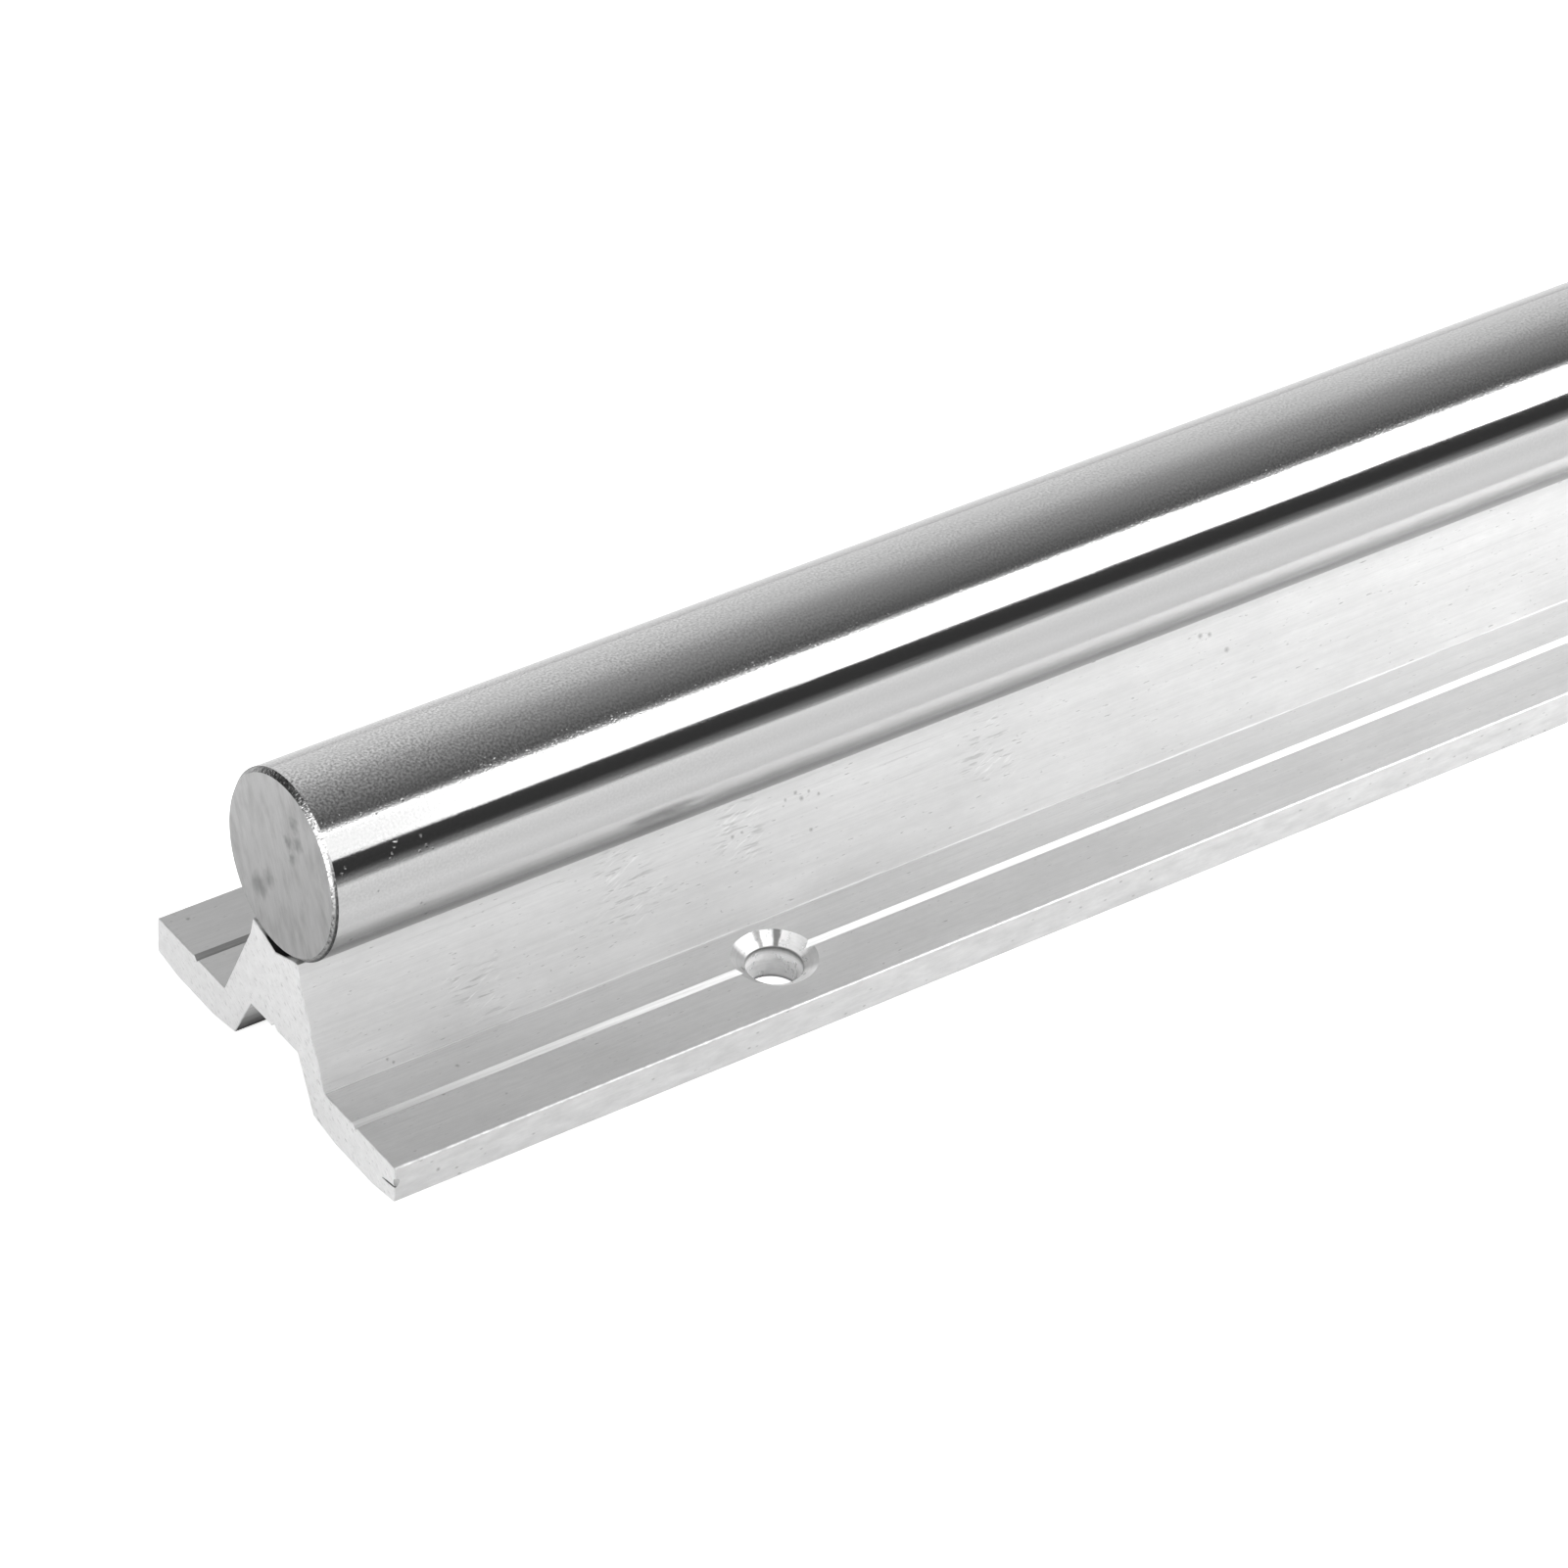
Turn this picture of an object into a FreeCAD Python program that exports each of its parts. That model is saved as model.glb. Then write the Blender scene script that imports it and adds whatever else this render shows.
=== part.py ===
# Supported round rail: a hardened round shaft screwed down onto a V-topped aluminium support.
# Millimetres. +X runs along the rail and +Z points up.
# The origin is the middle of the support's underside.

import FreeCAD, Part
import os
import Sketcher

# Driving sizes: name, value, what it sets. Each is one row of the spreadsheet.
SIZES = [
    ("rail_length", 400, "sawn length of the support"),
    ("shaft_inset", 0.5, "how far each shaft end stands back from the support's sawn face"),
    ("shaft_diameter", 20, "ground diameter of the shaft"),
    ("shaft_chamfer", 0.5, "edge break on the shaft ends"),
    ("axis_height", 27, "shaft axis above the mounting surface"),
    ("base_width", 45, "overall width of the support"),
    ("flange_height", 5, "height of the flanges' upper face"),
    ("sole_inner", 11.8, "distance from the middle to the inner edge of the flat sole"),
    ("sole_outer", 18.3, "distance from the middle to the outer edge of the flat sole"),
    ("inner_relief", 0.75, "lift of the underside at the recess mouth"),
    ("outer_relief", 0.65, "lift of the underside at the flange's outer edge"),
    ("pedestal_width", 19, "width of the pedestal where it meets the flanges"),
    ("jaw_width", 9.2, "width of the pedestal at the lower edge of its jaws"),
    ("jaw_drop", 2.0, "height of the steep outer face of each jaw"),
    ("top_width", 8.4, "width over the two peaks that carry the shaft"),
    ("peak_land", 0.55, "width of the flat on each peak"),
    ("seat_angle", 20, "slope of each seat flank, in degrees"),
    ("seat_clearance", 0.02, "gap between the shaft and the seat flanks"),
    ("recess_height", 6.6, "height of the ceiling of the recess below the pedestal"),
    ("recess_ceiling", 8.7, "width of the recess at its ceiling"),
    ("recess_mouth", 14.9, "width of the recess at the underside"),
    ("scribe_depth", 0.5, "depth of the V lines that guide the drill"),
    ("foot_fillet", 0.25, "radius between pedestal and flange"),
    ("edge_round", 0.25, "radius on the flanges' outer edges"),
    ("row_spacing", 30, "distance between the two rows of flange holes"),
    ("hole_pitch", 150, "distance from one drilled station to the next"),
    ("hole_stations", 3, "number of drilled stations along the rail"),
    ("flange_hole", 6, "diameter of a flange hole"),
    ("countersink", 9, "outer diameter of a flange hole's countersink"),
    ("countersink_angle", 108, "included angle of the countersink, in degrees"),
    ("screw_diameter", 6, "nominal diameter of the shaft screws"),
    ("screw_length", 16, "length of a shaft screw under its head"),
    ("screw_tip", 0.5, "edge break at a screw's tip"),
    ("head_diameter", 10, "diameter of a screw's head"),
    ("head_height", 6, "height of a screw's head"),
    ("head_chamfer", 0.4, "edge break on a screw's head"),
    ("socket_width", 5, "width across the flats of a screw's socket"),
    ("socket_depth", 3, "depth of a screw's socket"),
    ("head_seat", 7.4, "height of the counterbore floor that a screw's head bears on"),
    ("head_clearance", 0.5, "gap all round a screw's head in its counterbore"),
    ("shank_clearance", 0.3, "gap all round a screw's shank in the support"),
    ("thread_clearance", 0.03, "gap all round a screw's shank in the shaft"),
    ("tip_clearance", 2.0, "free depth of a tapped hole beyond its screw's tip"),
]

# Heights and places that follow from the driving sizes.
SEAT_HEIGHT = ("Sizes.axis_height"
               " - (Sizes.shaft_diameter / 2 + Sizes.seat_clearance) / cos(Sizes.seat_angle)")
PEAK_INNER = "Sizes.top_width / 2 - Sizes.peak_land"
PEAK_HEIGHT = f"{SEAT_HEIGHT} + ({PEAK_INNER}) * tan(Sizes.seat_angle)"
SHAFT_UNDERSIDE = "Sizes.axis_height - Sizes.shaft_diameter / 2"
FIRST_STATION = "-Sizes.hole_pitch * (Sizes.hole_stations - 1) / 2"
PATTERN_SPAN = "Sizes.hole_pitch * (Sizes.hole_stations - 1)"
TAPPING_DEPTH = (f"Sizes.head_seat + Sizes.screw_length + Sizes.tip_clearance - ({SHAFT_UNDERSIDE})")

# One half of the support's section, from the bottom of the seat round to the recess ceiling:
# distance from the middle, then height. "axis" marks a point on one of the section's axes.
HALF_SECTION = [
    ("axis", SEAT_HEIGHT),
    (PEAK_INNER, PEAK_HEIGHT),
    ("Sizes.top_width / 2", PEAK_HEIGHT),
    ("Sizes.jaw_width / 2", f"{PEAK_HEIGHT} - Sizes.jaw_drop"),
    ("Sizes.pedestal_width / 2", "Sizes.flange_height"),
    ("Sizes.row_spacing / 2 - Sizes.scribe_depth", "Sizes.flange_height"),
    ("Sizes.row_spacing / 2", "Sizes.flange_height - Sizes.scribe_depth"),
    ("Sizes.row_spacing / 2 + Sizes.scribe_depth", "Sizes.flange_height"),
    ("Sizes.base_width / 2", "Sizes.flange_height"),
    ("Sizes.base_width / 2", "Sizes.outer_relief"),
    ("Sizes.sole_outer", "axis"),
    ("Sizes.sole_inner", "axis"),
    ("Sizes.recess_mouth / 2", "Sizes.inner_relief"),
    ("Sizes.recess_ceiling / 2", "Sizes.recess_height"),
    ("Sizes.scribe_depth", "Sizes.recess_height"),
    ("axis", "Sizes.recess_height + Sizes.scribe_depth"),
]

# One half of a screw's section, from the middle of its head to the middle of its tip:
# distance from the screw's axis, then distance from the head's bearing face.
SCREW_SECTION = [
    ("axis", "-Sizes.head_height"),
    ("Sizes.head_diameter / 2 - Sizes.head_chamfer", "-Sizes.head_height"),
    ("Sizes.head_diameter / 2", "Sizes.head_chamfer - Sizes.head_height"),
    ("Sizes.head_diameter / 2", "axis"),
    ("Sizes.screw_diameter / 2", "axis"),
    ("Sizes.screw_diameter / 2", "Sizes.screw_length - Sizes.screw_tip"),
    ("Sizes.screw_diameter / 2 - Sizes.screw_tip", "Sizes.screw_length"),
    ("axis", "Sizes.screw_length"),
]

# The sketcher's own geometry: its origin, its horizontal axis and its vertical axis.
ORIGIN = (-1, 1)
HORIZONTAL_AXIS = -1
VERTICAL_AXIS = -2

# The sketcher counts a curve's points from 1: its start, its end and its centre.
START, END, CENTRE = range(1, 4)

HEXAGON_SIDES = 6
FULL_TURN = 360
NEARLY_ZERO = 1e-6


def new_sheet(doc):
    """Put every driving size into one spreadsheet, under its own name."""
    sheet = doc.addObject("Spreadsheet::Sheet", "Sizes")
    for row, (name, value, meaning) in enumerate(SIZES, start=1):
        sheet.set(f"A{row}", name)
        sheet.set(f"B{row}", str(value))
        sheet.set(f"C{row}", meaning)
        sheet.setAlias(f"B{row}", name)
    doc.recompute()
    return sheet


def value_of(thing, text):
    """Work out an expression as a plain number."""
    return float(thing.evalExpression(text))


def new_body(doc, label):
    """Start a body whose label is the name of the piece."""
    body = doc.addObject("PartDesign::Body", label)
    body.Label = label
    return body


def new_sketch(body, name, role, lift=None):
    """Start a sketch on the body's own origin plane, lifted along the plane's normal."""
    plane = next(plane for plane in body.Origin.OriginFeatures if plane.Role == role)
    sketch = body.newObject("Sketcher::SketchObject", name)
    sketch.AttachmentSupport = [(plane, "")]
    sketch.MapMode = "FlatFace"
    if lift:
        sketch.setExpression("AttachmentOffset.Base.z", lift)
    return sketch


def drive(sketch, kind, ends, text):
    """Add a constraint between two points, or on one curve, driven by an expression."""
    start = value_of(sketch, text)
    index = sketch.addConstraint(Sketcher.Constraint(kind, *ends, start))
    sketch.setExpression(f"Constraints[{index}]", text)


def place_point(sketch, point, across, up):
    """Hold a sketch point at a distance from the origin along each axis."""
    if across == "axis":
        sketch.addConstraint(Sketcher.Constraint("PointOnObject", *point, VERTICAL_AXIS))
    else:
        drive(sketch, "DistanceX", (*ORIGIN, *point), across)
    if up == "axis":
        sketch.addConstraint(Sketcher.Constraint("PointOnObject", *point, HORIZONTAL_AXIS))
    else:
        drive(sketch, "DistanceY", (*ORIGIN, *point), up)


def start_place(sketch, across, up, side=1):
    """Work out where a point lies before its constraints hold it."""
    flat = 0 if across == "axis" else side * value_of(sketch, across)
    height = 0 if up == "axis" else value_of(sketch, up)
    return FreeCAD.Vector(flat, height, 0)


def draw_chain(sketch, places, side=1):
    """Draw joined lines through the places and give their numbers."""
    points = [start_place(sketch, across, up, side) for across, up in places]
    pairs = zip(points, points[1:])
    lines = [sketch.addGeometry(Part.LineSegment(first, second)) for first, second in pairs]
    for first, second in zip(lines, lines[1:]):
        sketch.addConstraint(Sketcher.Constraint("Coincident", first, END, second, START))
    return lines


def hold_chain(sketch, lines, places):
    """Drive every point of a chain from the sizes."""
    for index, line in enumerate(lines):
        place_point(sketch, (line, START), *places[index])
    place_point(sketch, (lines[-1], END), *places[-1])


def draw_symmetric_section(sketch, places):
    """Draw a closed section whose left half mirrors the driven right half."""
    right = draw_chain(sketch, places)
    left = draw_chain(sketch, places, side=-1)
    hold_chain(sketch, right, places)
    for kept, mirrored in zip(right[1:], left[1:]):
        ends = (kept, START, mirrored, START, VERTICAL_AXIS)
        sketch.addConstraint(Sketcher.Constraint("Symmetric", *ends))
    sketch.addConstraint(Sketcher.Constraint("Coincident", right[0], START, left[0], START))
    sketch.addConstraint(Sketcher.Constraint("Coincident", right[-1], END, left[-1], END))


def draw_turned_section(sketch, places):
    """Draw a half section closed along the vertical axis that it turns about."""
    outline = draw_chain(sketch, places)
    hold_chain(sketch, outline, places)
    top = start_place(sketch, *places[-1])
    bottom = start_place(sketch, *places[0])
    closing = sketch.addGeometry(Part.LineSegment(top, bottom))
    sketch.addConstraint(Sketcher.Constraint("Coincident", outline[-1], END, closing, START))
    sketch.addConstraint(Sketcher.Constraint("Coincident", closing, END, outline[0], START))


def draw_circle(sketch, across, up, diameter):
    """Draw one driven circle."""
    centre = start_place(sketch, across, up)
    radius = value_of(sketch, diameter) / 2
    circle = sketch.addGeometry(Part.Circle(centre, FreeCAD.Vector(0, 0, 1), radius))
    place_point(sketch, (circle, CENTRE), across, up)
    drive(sketch, "Diameter", (circle,), diameter)


def draw_hexagon(sketch, across_flats):
    """Draw a hexagon round the origin, held by its width across the flats."""
    across_corners = f"{across_flats} / cos(180 / {HEXAGON_SIDES})"
    radius = value_of(sketch, across_corners) / 2
    up = FreeCAD.Vector(0, 0, 1)
    ring = sketch.addGeometry(Part.Circle(FreeCAD.Vector(0, 0, 0), up, radius), True)
    spoke = FreeCAD.Vector(radius, 0, 0)
    turn = FULL_TURN / HEXAGON_SIDES
    turned = [FreeCAD.Rotation(up, turn * step).multVec(spoke) for step in range(HEXAGON_SIDES)]
    pairs = zip(turned, turned[1:] + turned[:1])
    sides = [sketch.addGeometry(Part.LineSegment(first, second)) for first, second in pairs]
    sketch.addConstraint(Sketcher.Constraint("Coincident", ring, CENTRE, *ORIGIN))
    for side, following in zip(sides, sides[1:] + sides[:1]):
        sketch.addConstraint(Sketcher.Constraint("Coincident", side, END, following, START))
        sketch.addConstraint(Sketcher.Constraint("PointOnObject", side, START, ring))
    for side in sides[1:]:
        sketch.addConstraint(Sketcher.Constraint("Equal", sides[0], side))
    sketch.addConstraint(Sketcher.Constraint("PointOnObject", sides[0], START, HORIZONTAL_AXIS))
    drive(sketch, "Diameter", (ring,), across_corners)


def pad_along_rail(body, sketch, name, length):
    """Push a section out both ways from the middle of the rail."""
    pad = body.newObject("PartDesign::Pad", name)
    pad.Profile = sketch
    pad.Midplane = True
    pad.setExpression("Length", length)
    return pad


def long_edges(feature, places):
    """Name the edges along the rail that pass through these places of the section."""
    wanted = [(abs(place.x), place.y) for place in places]
    names = []
    for number, edge in enumerate(feature.Shape.Edges, start=1):
        if abs(edge.tangentAt(edge.FirstParameter).x) < 1 - NEARLY_ZERO:
            continue
        middle = edge.CenterOfMass
        gaps = [abs(abs(middle.y) - y) + abs(middle.z - z) for y, z in wanted]
        if min(gaps) < NEARLY_ZERO:
            names.append(f"Edge{number}")
    return names


def end_edges(feature):
    """Name the round edges at both ends of the shaft."""
    names = []
    for number, edge in enumerate(feature.Shape.Edges, start=1):
        if isinstance(edge.Curve, Part.Circle):
            names.append(f"Edge{number}")
    return names


def dress_edges(doc, body, kind, name, base, edges, prop, size):
    """Round or chamfer the named edges of a feature."""
    feature = body.newObject(kind, name)
    feature.Base = (base, edges)
    feature.setExpression(prop, size)
    doc.recompute()
    return feature


def drill(doc, body, sketch, name, diameter, depth=None, upwards=False):
    """Drill the sketch's circles, right through unless a depth is given."""
    before = body.Tip.Shape.Volume
    hole = body.newObject("PartDesign::Hole", name)
    hole.Profile = sketch
    hole.Reversed = upwards
    hole.DepthType = "Dimension" if depth else "ThroughAll"
    hole.setExpression("Diameter", diameter)
    if depth:
        hole.setExpression("Depth", depth)
    doc.recompute()
    if hole.Shape.Volume > before - NEARLY_ZERO:
        raise RuntimeError(f"{name} cuts nothing")
    return hole


def cut_mouth(doc, hole, kind, diameter, prop, size):
    """Give a hole a countersunk or counterbored mouth."""
    before = hole.Shape.Volume
    hole.HoleCutType = kind
    hole.HoleCutCustomValues = True
    hole.setExpression("HoleCutDiameter", diameter)
    hole.setExpression(prop, size)
    doc.recompute()
    if hole.Shape.Volume > before - NEARLY_ZERO:
        raise RuntimeError(f"the mouth of {hole.Name} cuts nothing")


def repeat_along_rail(doc, body, feature, name):
    """Repeat a feature at every drilled station."""
    before = body.Tip.Shape.Volume
    axis = next(line for line in body.Origin.OriginFeatures if line.Role == "X_Axis")
    pattern = body.newObject("PartDesign::LinearPattern", name)
    pattern.Originals = [feature]
    pattern.Direction = (axis, [""])
    pattern.setExpression("Length", PATTERN_SPAN)
    pattern.setExpression("Occurrences", "Sizes.hole_stations")
    body.Tip = pattern
    doc.recompute()
    if pattern.Shape.Volume > before - NEARLY_ZERO:
        raise RuntimeError(f"{name} repeats nothing")
    return pattern


def make_support(doc):
    """Extruded support: flanges, tapered pedestal, V seat, recess and drilled holes."""
    body = new_body(doc, "rail_support")
    section = new_sketch(body, "SupportSection", "YZ_Plane")
    draw_symmetric_section(section, HALF_SECTION)
    pad = pad_along_rail(body, section, "SupportExtrusion", "Sizes.rail_length")
    doc.recompute()

    foot = start_place(section, "Sizes.pedestal_width / 2", "Sizes.flange_height")
    foot_edges = long_edges(pad, [foot])
    feet = dress_edges(doc, body, "PartDesign::Fillet", "FootFillets", pad, foot_edges,
                       "Radius", "Sizes.foot_fillet")
    upper_corner = start_place(section, "Sizes.base_width / 2", "Sizes.flange_height")
    lower_corner = start_place(section, "Sizes.base_width / 2", "Sizes.outer_relief")
    corner_edges = long_edges(feet, [upper_corner, lower_corner])
    dress_edges(doc, body, "PartDesign::Fillet", "FlangeEdges", feet, corner_edges,
                "Radius", "Sizes.edge_round")

    flange_holes = new_sketch(body, "FlangeHoles", "XY_Plane", "Sizes.flange_height")
    for row in ("Sizes.row_spacing / 2", "-Sizes.row_spacing / 2"):
        draw_circle(flange_holes, FIRST_STATION, row, "Sizes.flange_hole")
    doc.recompute()
    flange_drilling = drill(doc, body, flange_holes, "FlangeDrilling", "Sizes.flange_hole")
    cut_mouth(doc, flange_drilling, "Countersink", "Sizes.countersink",
              "HoleCutCountersinkAngle", "Sizes.countersink_angle")
    repeat_along_rail(doc, body, flange_drilling, "FlangeHoleRows")

    screw_holes = new_sketch(body, "ScrewHoles", "XY_Plane")
    draw_circle(screw_holes, FIRST_STATION, "axis", "Sizes.screw_diameter")
    doc.recompute()
    screw_drilling = drill(doc, body, screw_holes, "ScrewDrilling",
                           "Sizes.screw_diameter + 2 * Sizes.shank_clearance", upwards=True)
    cut_mouth(doc, screw_drilling, "Counterbore",
              "Sizes.head_diameter + 2 * Sizes.head_clearance",
              "HoleCutDepth", "Sizes.head_seat")
    repeat_along_rail(doc, body, screw_drilling, "ScrewHoleRow")
    return body


def make_shaft(doc):
    """Ground round shaft with chamfered ends and tapped holes along its underside."""
    body = new_body(doc, "guide_shaft")
    section = new_sketch(body, "ShaftSection", "YZ_Plane")
    draw_circle(section, "axis", "Sizes.axis_height", "Sizes.shaft_diameter")
    bar = pad_along_rail(body, section, "ShaftBar", "Sizes.rail_length - 2 * Sizes.shaft_inset")
    doc.recompute()
    dress_edges(doc, body, "PartDesign::Chamfer", "ShaftEnds", bar, end_edges(bar),
                "Size", "Sizes.shaft_chamfer")

    tappings = new_sketch(body, "Tappings", "XY_Plane", SHAFT_UNDERSIDE)
    draw_circle(tappings, FIRST_STATION, "axis", "Sizes.screw_diameter")
    doc.recompute()
    tapping = drill(doc, body, tappings, "Tapping",
                    "Sizes.screw_diameter + 2 * Sizes.thread_clearance",
                    depth=TAPPING_DEPTH, upwards=True)
    repeat_along_rail(doc, body, tapping, "TappingRow")
    return body


def make_screw(doc, station):
    """Socket-head cap screw that comes up through the support into the shaft."""
    body = new_body(doc, f"shaft_screw_{station + 1}")
    section = new_sketch(body, f"ScrewSection{station + 1}", "XZ_Plane")
    draw_turned_section(section, SCREW_SECTION)
    doc.recompute()
    turned = body.newObject("PartDesign::Revolution", f"ScrewTurning{station + 1}")
    turned.Profile = section
    turned.ReferenceAxis = (section, ["V_Axis"])
    turned.Angle = FULL_TURN
    doc.recompute()

    hexagon = new_sketch(body, f"SocketHexagon{station + 1}", "XY_Plane", "-Sizes.head_height")
    draw_hexagon(hexagon, "Sizes.socket_width")
    socket = body.newObject("PartDesign::Pocket", f"Socket{station + 1}")
    socket.Profile = hexagon
    socket.Reversed = True
    socket.setExpression("Length", "Sizes.socket_depth")
    doc.recompute()
    if socket.Shape.Volume > turned.Shape.Volume - NEARLY_ZERO:
        raise RuntimeError(f"the socket of {body.Label} cuts nothing")

    body.setExpression("Placement.Base.x", f"{FIRST_STATION} + {station} * Sizes.hole_pitch")
    body.setExpression("Placement.Base.z", "Sizes.head_seat")
    doc.recompute()
    return body


def check_document(doc, pieces):
    """Stop if any feature failed or any piece is not one sound solid."""
    for thing in doc.Objects:
        if "Invalid" in thing.State or "Error" in thing.State:
            raise RuntimeError(f"{thing.Name} failed: {thing.State}")
    for piece in pieces:
        if piece.Shape.isNull() or not piece.Shape.isValid() or len(piece.Shape.Solids) != 1:
            raise RuntimeError(f"{piece.Label} is not one sound solid")


def main():
    """Build the rail and write one STEP file for each piece."""
    doc = FreeCAD.newDocument("SupportedRoundRail")
    sheet = new_sheet(doc)
    stations = int(sheet.hole_stations)
    pieces = [make_support(doc), make_shaft(doc)]
    pieces += [make_screw(doc, station) for station in range(stations)]
    doc.recompute()
    check_document(doc, pieces)
    os.makedirs("parts", exist_ok=True)
    for piece in pieces:
        piece.Shape.exportStep(f"parts/{piece.Label}.step")


main()
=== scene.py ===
"""Looks of a supported round rail: a chrome-plated shaft on its aluminium support, in a white studio."""

from math import atan2, cos, inf, pi, radians, sin, tan

import bmesh
import bpy
from bpy.props import FloatProperty, FloatVectorProperty, IntProperty, PointerProperty
from mathutils import Matrix, Vector


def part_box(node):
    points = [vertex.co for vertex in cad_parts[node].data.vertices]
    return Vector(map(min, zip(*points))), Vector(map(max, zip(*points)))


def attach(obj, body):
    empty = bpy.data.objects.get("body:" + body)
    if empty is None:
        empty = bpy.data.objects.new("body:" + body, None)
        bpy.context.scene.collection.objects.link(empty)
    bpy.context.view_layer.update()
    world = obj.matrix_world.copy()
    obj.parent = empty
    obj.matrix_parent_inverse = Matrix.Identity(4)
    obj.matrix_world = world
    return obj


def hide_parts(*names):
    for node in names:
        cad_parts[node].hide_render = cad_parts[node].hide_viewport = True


bl_info = {
    "name": "Supported round rail",
    "version": (1, 0, 0),
    "blender": (4, 5, 0),
    "location": "View3D > Sidebar > Round rail",
    "description": "Builds the looks of a round shaft on its drilled aluminium support",
    "category": "Object",
}

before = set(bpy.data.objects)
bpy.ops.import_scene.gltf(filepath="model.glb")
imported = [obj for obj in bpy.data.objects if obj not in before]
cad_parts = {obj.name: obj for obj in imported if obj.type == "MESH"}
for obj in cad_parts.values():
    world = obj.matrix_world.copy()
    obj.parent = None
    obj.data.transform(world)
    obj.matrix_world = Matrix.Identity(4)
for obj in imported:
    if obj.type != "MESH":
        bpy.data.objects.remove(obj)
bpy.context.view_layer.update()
SUPPORT_LOW, SUPPORT_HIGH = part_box("rail_support")
SHAFT_LOW, SHAFT_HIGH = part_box("guide_shaft")
MM = 0.001
PER_MM = 1000.0
AXIS_HEIGHT = 27.0 * MM
SHAFT_RADIUS = (SHAFT_HIGH.y - SHAFT_LOW.y) / 2
ROOT = "root"

# Handling dents on the shaft: place along the rail, angle from the top towards the camera's
# side in degrees, and width, in millimetres.
SHAFT_MARKS = (
    (-196.2, -21.0, 0.4),
    (-198.3, 0.5, 0.3),
    (-194.5, 19.5, 0.35),
    (-160.4, 18.0, 0.35),
    (-189.3, 36.0, 0.35),
    (-192.5, 38.0, 0.3),
    (-191.6, 56.0, 0.5),
    (-191.9, 59.0, 0.3),
    (-192.3, 62.0, 0.25),
    (-192.6, 64.5, 0.25),
    (-188.8, 58.0, 0.35),
    (-188.5, 65.0, 0.4),
    (-189.3, 66.5, 0.3),
    (-187.9, 68.0, 0.3),
    (-197.5, 60.0, 0.3),
    (-198.0, 63.0, 0.3),
    (-194.4, 81.0, 0.3),
    (-189.4, 102.0, 0.4),
    (-188.9, 104.5, 0.3),
    (-188.3, 116.0, 0.5),
    (-197.1, 112.0, 0.4),
)

# Stains on the shaft's near end: place and width, in millimetres.
END_STAINS = (
    (-199.5, -1.9, 33.2, 2.2),
    (-199.5, -2.8, 31.4, 2.2),
    (-199.5, -1.2, 30.6, 2.0),
    (-199.5, -2.0, 29.2, 1.4),
    (-199.7, 1.9, 24.0, 2.6),
    (-199.8, 3.4, 22.4, 3.4),
    (-199.1, 4.9, 35.4, 0.9),
    (-199.1, 4.1, 35.8, 0.5),
)

# Where the support's flank was rubbed: places and widths, in millimetres.
RUBBED = (
    (-162.0, -6.3, 12.5, 11.0),
    (-181.0, -7.4, 9.0, 9.0),
    (-148.0, -5.5, 14.5, 9.0),
    (-118.0, -6.0, 13.0, 9.0),
)

# Handling dents on the support: place in the rail's own frame and width, in millimetres.
SUPPORT_MARKS = (
    (-192.5, -9.1, 5.9, 0.5),
    (-191.9, -9.3, 5.4, 0.5),
    (-186.5, -12.6, 5.0, 0.6),
    (-190.0, -15.5, 5.0, 0.5),
    (-197.5, 20.7, 5.0, 0.6),
    (-195.0, -22.5, 2.7, 0.6),
    (-140.0, -6.5, 11.6, 0.6),
    (-142.3, -4.8, 15.2, 0.5),
    (-141.0, -4.7, 15.5, 0.6),
    (-140.4, -5.0, 14.8, 0.7),
    (-139.4, -4.8, 15.2, 0.5),
    (-138.3, -5.1, 14.6, 0.5),
    (-149.2, -5.5, 13.7, 0.6),
    (-148.0, -5.5, 13.8, 0.5),
    (-89.0, -4.7, 15.5, 0.8),
    (-87.8, -4.8, 15.3, 0.7),
    (-86.0, -5.7, 13.2, 0.8),
)


# Sizes and colours that a user would change

def length(name, description, value):
    """A size in metres whose default is given in millimetres."""
    return FloatProperty(name=name, description=description, default=value * MM, min=0.0,
                         precision=5, subtype="DISTANCE", unit="LENGTH")


def grey(name, description, value):
    """A neutral colour."""
    return FloatVectorProperty(name=name, description=description, default=(value,) * 3,
                               min=0.0, max=1.0, size=3, subtype="COLOR")


def angle(name, description, value):
    """An angle whose default is given in degrees."""
    return FloatProperty(name=name, description=description, default=radians(value),
                         subtype="ANGLE", unit="ROTATION")


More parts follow.
